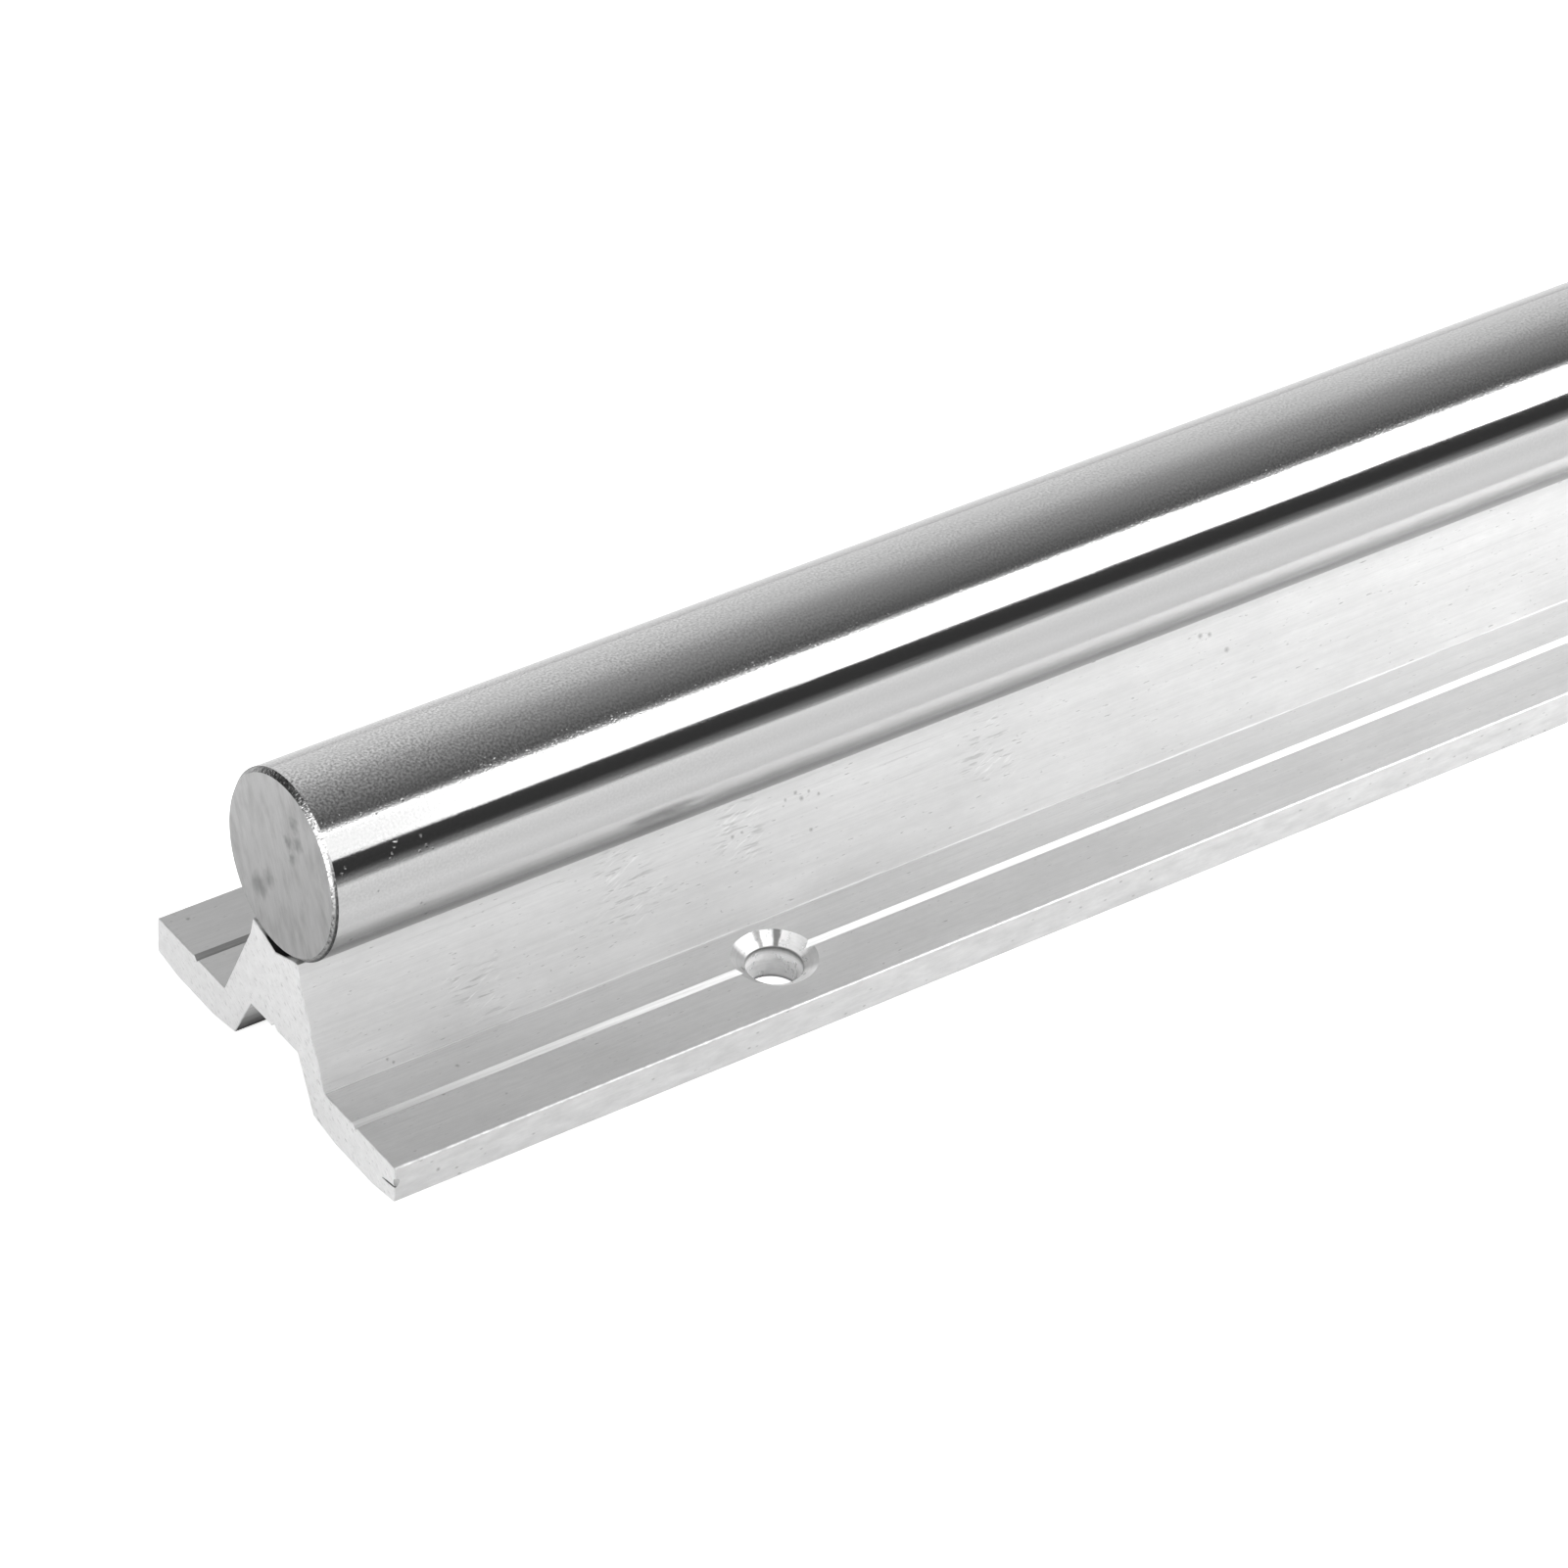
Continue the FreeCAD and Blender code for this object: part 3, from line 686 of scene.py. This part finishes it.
def chamfer_finish(colour):
    """The shaft's chamfer, plated and speckled by a rough tool, rougher round its lower half.

    Painted shade darkens its lower half and its back beyond the top.
    """
    f = Finish("plated_chamfer")
    turn, radius = f.round_shaft()
    under = f.math("ABSOLUTE", turn)
    ragged = f.noise(f.scaled(f.place, 3.0, 3.0, 3.0), 3.0, 0.6)
    lower = f.over_angle(under, CHAMFER_LOWER)
    rim = f.product(f.over_length(radius, RIM_START), f.spread(ragged, 0.38, 0.5, 0.3, 1.0),
                    f.over_angle(under, CHAMFER_RIM))
    # Painted shade: darker round the lower half and on the back beyond the top.
    value = f.product(f.spread(ragged, 0.38, 0.62, 0.5, 1.5), f.without(f.product(lower, 0.35)),
                      f.without(f.product(rim, 0.85)), f.over_angle(turn, CHAMFER_DARK, 1.0, 0.6))
    f.set(Base_Color=f.tint(colour, value), Metallic=1.0,
          Roughness=f.spread(lower, 0.0, 1.0, 0.16, 0.42), Normal=f.bump(ragged, 0.09))
    return f.material


def end_finish(colour):
    """The shaft's faced end: faint slanting grinding lines, soft darker blotches and stains."""
    f = Finish("faced_steel")
    across = f.turned(f.place, GRINDING_SLANT)
    lines = f.noise(f.scaled(across, 1.0, 0.35, 4.0), 3.0, 0.6)
    blotches = f.noise(f.scaled(across, 0.3, 0.25, 0.6), 3.0, 0.6)
    stains = f.marks(f.strayed(f.place, 0.9, 0.7), END_STAINS)
    value = f.product(f.spread(lines, 0.3, 0.7, 0.93, 1.05),
                      f.spread(blotches, 0.45, 0.7, 1.0, 0.8),
                      f.spread(stains, 0.0, 0.8, 1.0, 0.62))
    f.set(Base_Color=f.tint(colour, value), Metallic=1.0, Roughness=0.42,
          Normal=f.bump(lines, 0.008, 0.5))
    return f.material


def screw_finish(colour):
    """Zinc-plated steel with a soft mottle."""
    f = Finish("screw_steel_plated")
    mottle = f.noise(f.scaled(f.place, 1.2, 1.2, 1.2), 3.0)
    f.set(Base_Color=f.tint(colour, f.spread(mottle, 0.3, 0.7, 0.85, 1.1)), Metallic=1.0,
          Roughness=f.spread(mottle, 0.3, 0.7, 0.28, 0.42), Normal=f.bump(mottle, 0.01, 0.3))
    return f.material


# Shared making

# Points closer than this are one point, and places closer than this are the same place.
MERGED = 0.001 * MM
SAME_PLACE = 0.01 * MM

# How far a drill's shape sticks out of what it cuts.
OVERCUT = 1.0 * MM

# Straight steps in each full turn.
SHAFT_STEPS = 256
FLANGE_HOLE_STEPS = 132
COUNTERBORE_STEPS = 96
TAPPED_HOLE_STEPS = 64

# Edges bent more than the crease look sharp. So do those where one face is many times the other's
# area, unless they are flat.
CREASE = radians(32)
FLAT = radians(0.1)
LOPSIDED = 8.0

UP = Vector((0.0, 0.0, 1.0))
ALONG = Vector((1.0, 0.0, 0.0))
ACROSS = Vector((0.0, 1.0, 0.0))


def finish_piece(bm, name, materials):
    """Turns a bmesh into a piece of the object with its materials."""
    mesh = bpy.data.meshes.new(name)
    bm.to_mesh(mesh)
    bm.free()
    for material in materials:
        mesh.materials.append(material)
    piece = bpy.data.objects.new(name, mesh)
    bpy.context.scene.collection.objects.link(piece)
    return piece


def turned(bm, outline, centre, axis, steps):
    """Spins an outline of (radius, height) points round an axis through the centre, and closes it."""
    side = axis.orthogonal().normalized()
    points = [centre + side * radius + axis * height for radius, height in outline]
    corners = [bm.verts.new(point) for point in points]
    edges = [bm.edges.new(pair) for pair in zip(corners, corners[1:])]
    bmesh.ops.spin(bm, geom=corners + edges, cent=centre, axis=axis, angle=2 * pi,
                   steps=steps, use_merge=True)
    bmesh.ops.remove_doubles(bm, verts=bm.verts, dist=MERGED)
    bmesh.ops.recalc_face_normals(bm, faces=bm.faces)


def drilled(piece, cutter_bm, material):
    """Cuts the cutter's shape out of the piece. The holes get the material."""
    cutter = finish_piece(cutter_bm, piece.name + "_drill", [material])
    for polygon in cutter.data.polygons:
        polygon.use_smooth = True
    cut = piece.modifiers.new("Drill", "BOOLEAN")
    cut.operation = "DIFFERENCE"
    cut.solver = "EXACT"
    cut.material_mode = "TRANSFER"
    cut.object = cutter
    graph = bpy.context.evaluated_depsgraph_get()
    mesh = bpy.data.meshes.new_from_object(piece.evaluated_get(graph))
    if len(mesh.polygons) <= len(piece.data.polygons):
        raise RuntimeError("The cut went wrong on " + piece.name)
    piece.modifiers.clear()
    piece.data = mesh
    mesh.name = piece.name
    bpy.data.objects.remove(cutter)


def mark_edges(piece, lopsided=LOPSIDED):
    """Smooth shading, but for sharp edges and where a wide flat face meets a narrow one."""
    bm = bmesh.new()
    bm.from_mesh(piece.data)
    for face in bm.faces:
        face.smooth = True
    for edge in bm.edges:
        sides = edge.link_faces
        if len(sides) != 2:
            edge.smooth = False
            continue
        areas = sorted(face.calc_area() for face in sides)
        bend = edge.calc_face_angle()
        edge.smooth = bend < CREASE and (areas[1] < lopsided * areas[0] or bend < FLAT)
    bm.to_mesh(piece.data)
    bm.free()


def stations(sizes):
    """Places of the hole stations along the rail."""
    first = -(sizes.hole_stations - 1) / 2 * sizes.hole_pitch
    return [first + index * sizes.hole_pitch for index in range(sizes.hole_stations)]


# Support

# The support's materials, in the order of its slots.
EXTRUDED, SAWN, BURR_AND_HIGHLIGHT, EDGE, HIDDEN, SCRIBE, FOOT, DRILLED = range(8)

# A face whose normal is this close to a direction faces that way, and one whose normal rises less
# than the other isn't a top.
UPRIGHT = 0.95
LEVEL = 0.1

# The side of each countersink where the drill chattered most, and its share all round.
CHATTER_SIDE = radians(125)
CHATTER_EVEN = 0.6

# Knocks in the near corner of the flange: along, across and up from the corner's foot, then half
# width, depth and thickness, in millimetres, and tilt in degrees.
NICKS = (
    (0.0, 0.9, 2.5, 1.3, 0.35, 0.13, -10.0),
    (0.05, -0.1, 3.1, 0.35, 0.5, 0.6, -12.0),
)

# How uneven a knock's shape is, and how fast it varies across and upwards.
NICK_UNEVEN = 0.12
NICK_WAVES = (9.0, 7.0)


def support_section(s):
    """Half of the support's section, from the seat's lowest line round to the recess's scribe."""
    seat = AXIS_HEIGHT - (SHAFT_RADIUS + s.seat_clearance) / cos(s.seat_angle)
    peak_inner = s.top_width / 2 - s.peak_land
    peak = seat + peak_inner * tan(s.seat_angle)
    row = s.row_spacing / 2
    edge = SUPPORT_HIGH.y
    return [
        (0.0, seat),
        (peak_inner, peak),
        (s.top_width / 2, peak),
        (s.jaw_width / 2, peak - s.jaw_drop),
        (s.pedestal_width / 2, s.flange_height),
        (row - s.scribe_depth, s.flange_height),
        (row, s.flange_height - s.scribe_depth),
        (row + s.scribe_depth, s.flange_height),
        (edge, s.flange_height),
        (edge, s.outer_relief),
        (s.sole_outer, 0.0),
        (s.sole_inner, 0.0),
        (s.recess_mouth / 2, s.inner_relief),
        (s.recess_ceiling / 2, s.recess_height),
        (s.scribe_depth, s.recess_height),
        (0.0, s.recess_height + s.scribe_depth),
    ]


def runs_through(edge, y, z):
    """Whether an edge runs along the rail through this place of the section, on either side."""
    return (all(abs(abs(vert.co.y) - y) < SAME_PLACE and abs(vert.co.z - z) < SAME_PLACE
                for vert in edge.verts)
            and abs(edge.verts[0].co.x - edge.verts[1].co.x) > MM)


def rounded(bm, places, radius, segments):
    """Rounds the long edges that run through these places of the section."""
    for y, z in places:
        edges = [edge for edge in bm.edges if runs_through(edge, y, z)]
        turn = edges[0].calc_face_angle()
        bmesh.ops.bevel(bm, geom=edges, offset=radius * tan(turn / 2), segments=segments,
                        profile=0.5, affect="EDGES", material=-1, clamp_overlap=True)


def make_support_body(s):
    """The extrusion, sawn square at both ends, with its roundings and burrs."""
    bm = bmesh.new()
    half = [bm.verts.new((SUPPORT_LOW.x, y, z)) for y, z in support_section(s)]
    for pair in zip(half, half[1:]):
        bm.edges.new(pair)
    bmesh.ops.mirror(bm, geom=bm.verts[:] + bm.edges[:], axis="Y", merge_dist=MERGED)
    bmesh.ops.remove_doubles(bm, verts=bm.verts, dist=MERGED)
    bmesh.ops.contextual_create(bm, geom=bm.edges[:])
    run = Vector((SUPPORT_HIGH.x - SUPPORT_LOW.x, 0.0, 0.0))
    pushed = bmesh.ops.extrude_face_region(bm, geom=bm.faces[:])["geom"]
    bmesh.ops.translate(bm, verts=[g for g in pushed if isinstance(g, bmesh.types.BMVert)], vec=run)
    bmesh.ops.recalc_face_normals(bm, faces=bm.faces)

    foot = s.pedestal_width / 2
    rounded(bm, [(foot, s.flange_height)], s.foot_fillet, 8)
    for face in bm.faces:
        if abs(abs(face.calc_center_median().y) - foot) < s.foot_fillet and len(face.verts) == 4:
            face.material_index = FOOT
    rounded(bm, [(SUPPORT_HIGH.y, s.flange_height), (SUPPORT_HIGH.y, s.outer_relief)],
            s.edge_round, 6)
    for face in bm.faces:
        middle = face.calc_center_median()
        away = abs(middle.y)
        if away > SUPPORT_HIGH.y - s.edge_round and middle.z < s.flange_height:
            # The rounded edges take the burrs' brighter finish, which paints a highlight on them.
            face.material_index = EDGE if abs(face.normal.y) > UPRIGHT else BURR_AND_HIGHLIGHT
        elif face.normal.z < LEVEL and away < s.sole_inner and middle.z < s.head_seat:
            face.material_index = HIDDEN
        elif away < s.top_width / 2 - s.peak_land:
            face.material_index = HIDDEN
        elif s.flange_height - s.scribe_depth < middle.z < s.flange_height and away > s.sole_inner:
            face.material_index = SCRIBE

    ends = [face for face in bm.faces if abs(face.normal.x) > UPRIGHT]
    for face in ends:
        face.material_index = SAWN
    rims = [edge for edge in bm.edges if any(face in ends for face in edge.link_faces)]
    burrs = bmesh.ops.bevel(bm, geom=rims, offset=s.end_burr, segments=2, profile=0.5,
                            affect="EDGES", material=-1, clamp_overlap=True)["faces"]
    for face in burrs:
        face.material_index = BURR_AND_HIGHLIGHT
    return bm


def chattered(bm, centre, sizes):
    """Waves the countersink's cone in and out, as a drill leaves it when it chatters."""
    inner, outer = sizes.flange_hole / 2, sizes.countersink / 2
    for vert in bm.verts:
        away = vert.co - centre
        flat = Vector((away.x, away.y, 0.0))
        if flat.length < inner + SAME_PLACE:
            continue
        turn = atan2(flat.y, flat.x)
        wave = sin(sizes.chatter_lobes * turn + centre.x * PER_MM)
        share = (flat.length - inner) / (outer - inner)
        strength = share * (CHATTER_EVEN + (1.0 - CHATTER_EVEN) * cos(turn - CHATTER_SIDE))
        vert.co.z += sizes.chatter_height * wave * strength


def flange_drill(sizes, x, y):
    """The shape that one flange drill and its countersink take away."""
    bm = bmesh.new()
    hole, cone = sizes.flange_hole / 2, sizes.countersink / 2
    middle = (hole + cone) / 2
    slope = tan(sizes.countersink_angle / 2)
    top = sizes.flange_height
    outline = [
        (0.0, -OVERCUT),
        (hole, -OVERCUT),
        (hole, top - (cone - hole) / slope),
        (middle, top - (cone - middle) / slope),
        (cone + OVERCUT * slope, top + OVERCUT),
        (0.0, top + OVERCUT),
    ]
    centre = Vector((x, y, 0.0))
    turned(bm, outline, centre, UP, FLANGE_HOLE_STEPS)
    chattered(bm, centre, sizes)
    return bm


def screw_drill(sizes, x):
    """The shape that one screw's clearance hole and counterbore take away."""
    bm = bmesh.new()
    hole, bore = sizes.screw_hole / 2, sizes.counterbore / 2
    outline = [
        (0.0, -OVERCUT),
        (bore, -OVERCUT),
        (bore, sizes.head_seat),
        (hole, sizes.head_seat),
        (hole, AXIS_HEIGHT),
        (0.0, AXIS_HEIGHT),
    ]
    turned(bm, outline, Vector((x, 0.0, 0.0)), UP, COUNTERBORE_STEPS)
    return bm


def join(target, bm):
    """Adds one bmesh's shape to another."""
    mesh = bpy.data.meshes.new("joined")
    bm.to_mesh(mesh)
    bm.free()
    target.from_mesh(mesh)
    bpy.data.meshes.remove(mesh)


def nick(places, tilt):
    """One of the shapes that a knock took out of the near corner of the flange's edge."""
    along, across, high, wide, deep, thick = [size * MM for size in places]
    across_waves, upward_waves = [waves * PER_MM for waves in NICK_WAVES]
    bm = bmesh.new()
    bmesh.ops.create_icosphere(bm, subdivisions=3, radius=1.0)
    bmesh.ops.scale(bm, verts=bm.verts, vec=(deep, wide, thick))
    bmesh.ops.rotate(bm, verts=bm.verts, matrix=Matrix.Rotation(radians(tilt), 3, "X"))
    for vert in bm.verts:
        uneven = sin(across_waves * vert.co.y) * sin(upward_waves * vert.co.z)
        vert.co *= 1.0 + NICK_UNEVEN * uneven
    foot = Vector((SUPPORT_LOW.x, SUPPORT_LOW.y, 0.0))
    bmesh.ops.translate(bm, verts=bm.verts, vec=foot + Vector((along, across, high)))
    return bm


class RAIL_OT_support(bpy.types.Operator):
    """Build the aluminium support with its drilled holes"""

    bl_idname = "rail.support"
    bl_label = "Aluminium support"

    def execute(self, context):
        scene = context.scene
        sizes, colour = scene.rail_support_sizes, scene.rail_colours.aluminium
        materials = [
            extruded_finish(colour),
            sawn_finish(colour),
            burr_and_highlight_finish(colour),
            edge_finish(colour),
            hidden_shaded_finish(colour),
            shaded_corner_finish(colour, "scribe_aluminium", 0.58, 0.7, 1.1),
            shaded_corner_finish(colour, "foot_aluminium", 0.8, 0.85, 1.0),
            drilled_finish("drilled_aluminium", colour, sizes),
        ]
        support = finish_piece(make_support_body(sizes), "drilled_support", materials)
        drills = bmesh.new()
        for x in stations(sizes):
            for side in (-1, 1):
                join(drills, flange_drill(sizes, x, side * sizes.row_spacing / 2))
            join(drills, screw_drill(sizes, x))
        drilled(support, drills, materials[DRILLED])
        for *places, tilt in NICKS:
            drilled(support, nick(places, tilt), materials[HIDDEN])
        mark_edges(support)
        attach(support, ROOT)
        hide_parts("rail_support")
        return {"FINISHED"}


# Shaft

# The shaft's materials, in the order of its slots.
PLATED, CHAMFERED, FACED, TAPPED = range(4)

# How far a face's normal leans along the rail on the chamfer, at least and at most.
CHAMFER_LEAN = (0.2, 0.9)

# The CAD's facets leave its box a little lower than the shaft, and the drawn shaft stays inside it.
DRAWN_RADIUS = min(SHAFT_HIGH.y, SHAFT_HIGH.z - AXIS_HEIGHT)

# Half the angle of a drill's point.
DRILL_POINT = radians(59)


def tapping_drill(sizes, x):
    """The shape that one tapped hole takes out of the shaft's underside."""
    bm = bmesh.new()
    hole = sizes.tapped_hole / 2
    depth = sizes.tapping_top - AXIS_HEIGHT + DRAWN_RADIUS
    outline = [
        (0.0, 0.0),
        (hole, 0.0),
        (hole, depth),
        (0.0, depth + hole / tan(DRILL_POINT)),
    ]
    turned(bm, outline, Vector((x, 0.0, AXIS_HEIGHT - DRAWN_RADIUS)), UP, TAPPED_HOLE_STEPS)
    return bm


class RAIL_OT_shaft(bpy.types.Operator):
    """Build the ground and plated shaft"""

    bl_idname = "rail.shaft"
    bl_label = "Round shaft"

    def execute(self, context):
        scene = context.scene
        sizes, colours = scene.rail_shaft_sizes, scene.rail_colours
        span = SHAFT_HIGH.x - SHAFT_LOW.x
        outline = [
            (0.0, 0.0),
            (DRAWN_RADIUS - sizes.chamfer, 0.0),
            (DRAWN_RADIUS, sizes.chamfer),
            (DRAWN_RADIUS, span - sizes.chamfer),
            (DRAWN_RADIUS - sizes.chamfer, span),
            (0.0, span),
        ]
        bm = bmesh.new()
        turned(bm, outline, Vector((SHAFT_LOW.x, 0.0, AXIS_HEIGHT)), ALONG, SHAFT_STEPS)
        near = [vert for vert in bm.verts if vert.co.x < SHAFT_LOW.x + 2 * sizes.chamfer]
        for vert in near:
            vert.co.x += tan(sizes.end_slant) * (vert.co.z - AXIS_HEIGHT)
        least, most = CHAMFER_LEAN
        for face in bm.faces:
            lean = abs(face.normal.x)
            face.material_index = PLATED if lean < least else CHAMFERED if lean < most else FACED
        materials = [
            chrome_finish(colours.chrome),
            chamfer_finish(colours.chrome),
            end_finish(colours.end_steel),
            drilled_finish("drilled_steel", colours.end_steel, scene.rail_support_sizes),
        ]
        shaft = finish_piece(bm, "ground_shaft", materials)
        drills = bmesh.new()
        for x in stations(scene.rail_support_sizes):
            join(drills, tapping_drill(sizes, x))
        drilled(shaft, drills, materials[TAPPED])
        mark_edges(shaft, lopsided=inf)
        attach(shaft, ROOT)
        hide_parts("guide_shaft")
        return {"FINISHED"}


# Screws

class RAIL_OT_screws(bpy.types.Operator):
    """Finish the socket-head screws that hold the shaft"""

    bl_idname = "rail.screws"
    bl_label = "Shaft screws"

    def execute(self, context):
        material = screw_finish(context.scene.rail_colours.screw_steel)
        for name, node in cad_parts.items():
            if name.startswith("shaft_screw"):
                for slot in node.material_slots:
                    slot.material = material
        return {"FINISHED"}


# Stage

# The point that the camera looks at.
AIM = Vector((-138.99, -0.05, 12.73)) * MM

# The studio round the rail as the chrome shows it: the angle from straight up towards the
# camera's side, in degrees, and the brightness that comes from there.
STUDIO = (
    (-180.0, 1.25),
    (-70.0, 1.0),
    (-45.0, 0.86),
    (-20.0, 0.47),
    (10.0, 0.22),
    (22.0, 0.14),
    (26.0, 0.35),
    (30.0, 1.2),
    (34.0, 0.06),
    (80.0, 0.06),
    (92.0, 0.5),
    (100.0, 1.0),
    (180.0, 1.25),
)

# A dark card behind the rail's near end: its direction, its half width in degrees, how far its
# soft edge reaches outwards and inwards, and the light that it leaves.
DARK_CARD = Vector((-0.55, 0.72, 0.42))
DARK_CARD_WIDTH = radians(30)
DARK_CARD_EDGE = (0.06, 0.02)
DARK_CARD_LIGHT = 0.08

# The softbox over the camera's side: its edges in degrees from straight up, its distance, and
# where each of its parts starts along the rail, with its brightness.
SOFTBOX_SIDES = (29.5, 61.5)
SOFTBOX_DISTANCE = 0.6
SOFTBOX_PARTS = (
    (-1.5, 0.7),
    (-0.3, 1.1),
    (0.0, 1.7),
    (0.1, 2.3),
    (0.2, 3.2),
    (0.32, 4.5),
    (1.6, 0.0),
)

# The strip that lights the support's matt oxide.
FILL_AIM = Vector((0.05, 0.0, 0.01))
FILL_DISTANCE = 0.1
FILL_SIZE = (0.3, 0.05)
FILL_BRIGHTNESS = 9.5

# The card before the rail's near end.
NEAR_CARD = Vector((-1.2, -0.5, 0.45))
NEAR_CARD_SIZE = (1.2, 0.9)
NEAR_CARD_BRIGHTNESS = 2.8

# The floor's own light, where the camera sees it and beside the rail, how far from the middle line
# it starts, in millimetres, and how far the floor lies under the soles.
FLOOR_SEEN = 0.8
FLOOR_BESIDE = 0.32
BESIDE = (18.0, 45.0)
FLOOR_DROP = 0.02 * MM


def studio_world():
    """A white backdrop that darkens overhead and behind the camera, and shows plain white."""
    world = bpy.data.worlds.new("studio")
    world.use_nodes = True
    world.node_tree.nodes.clear()
    bpy.context.scene.world = world
    w = Nodes(world.node_tree)
    direction = w.coordinates["Generated"]
    parts = w.split(direction)
    turn = w.math("ARCTAN2", w.product(parts["Y"], -1.0), parts["Z"])
    towards = w.vector("DOT_PRODUCT", direction, DARK_CARD.normalized())["Value"]
    outwards, inwards = DARK_CARD_EDGE
    edge = cos(DARK_CARD_WIDTH)
    shade = w.spread(towards, edge - outwards, edge + inwards, 1.0, DARK_CARD_LIGHT)
    lit = w.add("ShaderNodeBackground", Color=w.round_about(turn, STUDIO), Strength=shade)
    plain = w.add("ShaderNodeBackground", Color=(1.0, 1.0, 1.0, 1.0), Strength=1.0)
    seen = w.add("ShaderNodeLightPath").outputs["Is Camera Ray"]
    shown = w.ordered("ShaderNodeMixShader", None, seen, lit.outputs[0], plain.outputs[0])
    w.add("ShaderNodeOutputWorld", Surface=shown.outputs[0])


def soft_light(name, place, facing, along, size, radiance, mirrored=True):
    """A soft rectangular light, as bright all over as told, that the camera doesn't see."""
    light = bpy.data.lights.new(name, "AREA")
    light.shape = "RECTANGLE"
    light.size, light.size_y = size
    light.energy = radiance * pi * light.size * light.size_y
    lamp = bpy.data.objects.new(name, light)
    bpy.context.scene.collection.objects.link(lamp)
    turn = Matrix((along, facing.cross(along), facing)).transposed()
    lamp.matrix_world = Matrix.Translation(place) @ turn.to_4x4()
    lamp.visible_camera = False
    lamp.visible_glossy = mirrored
    return lamp


def studio_lights():
    """The long softbox over the camera's side, a strip for the support, and a card at the near end."""
    low, high = [radians(side) for side in SOFTBOX_SIDES]
    middle = (low + high) / 2
    away = Vector((0.0, -sin(middle), cos(middle)))
    width = 2 * SOFTBOX_DISTANCE * tan((high - low) / 2)
    centre = Vector((0.0, 0.0, AXIS_HEIGHT)) + away * SOFTBOX_DISTANCE
    for (start, brightness), (end, _) in zip(SOFTBOX_PARTS, SOFTBOX_PARTS[1:]):
        place = centre + ALONG * (start + end) / 2
        soft_light("softbox", place, away, ALONG, (end - start, width), brightness)

    slanting = Vector((0.0, -1.0, 1.0))
    fill = soft_light("fill_strip", FILL_AIM + slanting * FILL_DISTANCE, slanting.normalized(),
                      ALONG, FILL_SIZE, FILL_BRIGHTNESS, mirrored=False)
    lit = bpy.data.collections.new("lit_by_fill_strip")
    lit.objects.link(bpy.data.objects["drilled_support"])
    fill.light_linking.receiver_collection = lit
    soft_light("near_card", NEAR_CARD, -ALONG, ACROSS, NEAR_CARD_SIZE, NEAR_CARD_BRIGHTNESS)


def floor_finish(colour):
    """A pale matt floor that glows softly, but not under the rail."""
    f = Finish("stage_floor")
    soft = f.noise(f.scaled(f.place, 0.002, 0.002, 0.002), 2.0)
    beside = f.over_length(f.math("ABSOLUTE", f.split(f.place)["Y"]), BESIDE)
    seen = f.add("ShaderNodeLightPath").outputs["Is Camera Ray"]
    glow = f.math("ADD", f.product(seen, FLOOR_SEEN), f.product(beside, FLOOR_BESIDE))
    f.set(Base_Color=f.tint(colour, f.spread(soft, 0.3, 0.7, 0.98, 1.0)), Roughness=0.9,
          Specular_IOR_Level=0.1, Emission_Color=(1.0, 1.0, 1.0, 1.0), Emission_Strength=glow)
    return f.material


class RAIL_OT_stage(bpy.types.Operator):
    """Set up the floor, the studio light and the camera"""

    bl_idname = "rail.stage"
    bl_label = "Stage and camera"

    def execute(self, context):
        scene, setup = context.scene, context.scene.rail_stage
        scene.view_settings.view_transform = "Standard"
        studio_world()
        studio_lights()

        bm = bmesh.new()
        bmesh.ops.create_grid(bm, x_segments=4, y_segments=4, size=setup.floor_size / 2)
        bmesh.ops.translate(bm, verts=bm.verts, vec=(0.0, 0.0, SUPPORT_LOW.z - FLOOR_DROP))
        floor = finish_piece(bm, "stage_floor", [floor_finish(setup.floor_colour)])

        back = Vector((sin(setup.azimuth) * cos(setup.elevation),
                       -cos(setup.azimuth) * cos(setup.elevation), sin(setup.elevation)))
        data = bpy.data.cameras.new("photo_camera")
        data.lens = setup.lens
        data.sensor_width = 36.0
        data.clip_start, data.clip_end = 0.01, 100.0
        camera = bpy.data.objects.new("photo_camera", data)
        scene.collection.objects.link(camera)
        facing = back.to_track_quat("Z", "Y").to_matrix().to_4x4()
        camera.matrix_world = (Matrix.Translation(AIM + back * setup.distance) @ facing
                               @ Matrix.Rotation(setup.roll, 4, "Z"))
        scene.camera = camera
        return {"FINISHED"}


class RAIL_PT_panel(bpy.types.Panel):
    """Lists the rail's pieces and their sizes"""

    bl_idname = "RAIL_PT_panel"
    bl_label = "Round rail"
    bl_space_type = "VIEW_3D"
    bl_region_type = "UI"
    bl_category = "Round rail"

    def draw(self, context):
        for operator in OPERATORS:
            self.layout.operator(operator.bl_idname)
        for name, group in SETTINGS.items():
            box = self.layout.box()
            box.label(text=group.__doc__)
            for size in group.__annotations__:
                box.prop(getattr(context.scene, name), size)


OPERATORS = (RAIL_OT_support, RAIL_OT_shaft, RAIL_OT_screws, RAIL_OT_stage)
CLASSES = (*SETTINGS.values(), *OPERATORS, RAIL_PT_panel)


def register():
    for cls in CLASSES:
        bpy.utils.register_class(cls)
    for name, group in SETTINGS.items():
        setattr(bpy.types.Scene, name, PointerProperty(type=group))


def unregister():
    for name in SETTINGS:
        delattr(bpy.types.Scene, name)
    for cls in reversed(CLASSES):
        bpy.utils.unregister_class(cls)


def main():
    """Builds everything."""
    register()
    bpy.ops.rail.support()
    bpy.ops.rail.shaft()
    bpy.ops.rail.screws()
    bpy.ops.rail.stage()


if __name__ == "__main__":
    main()
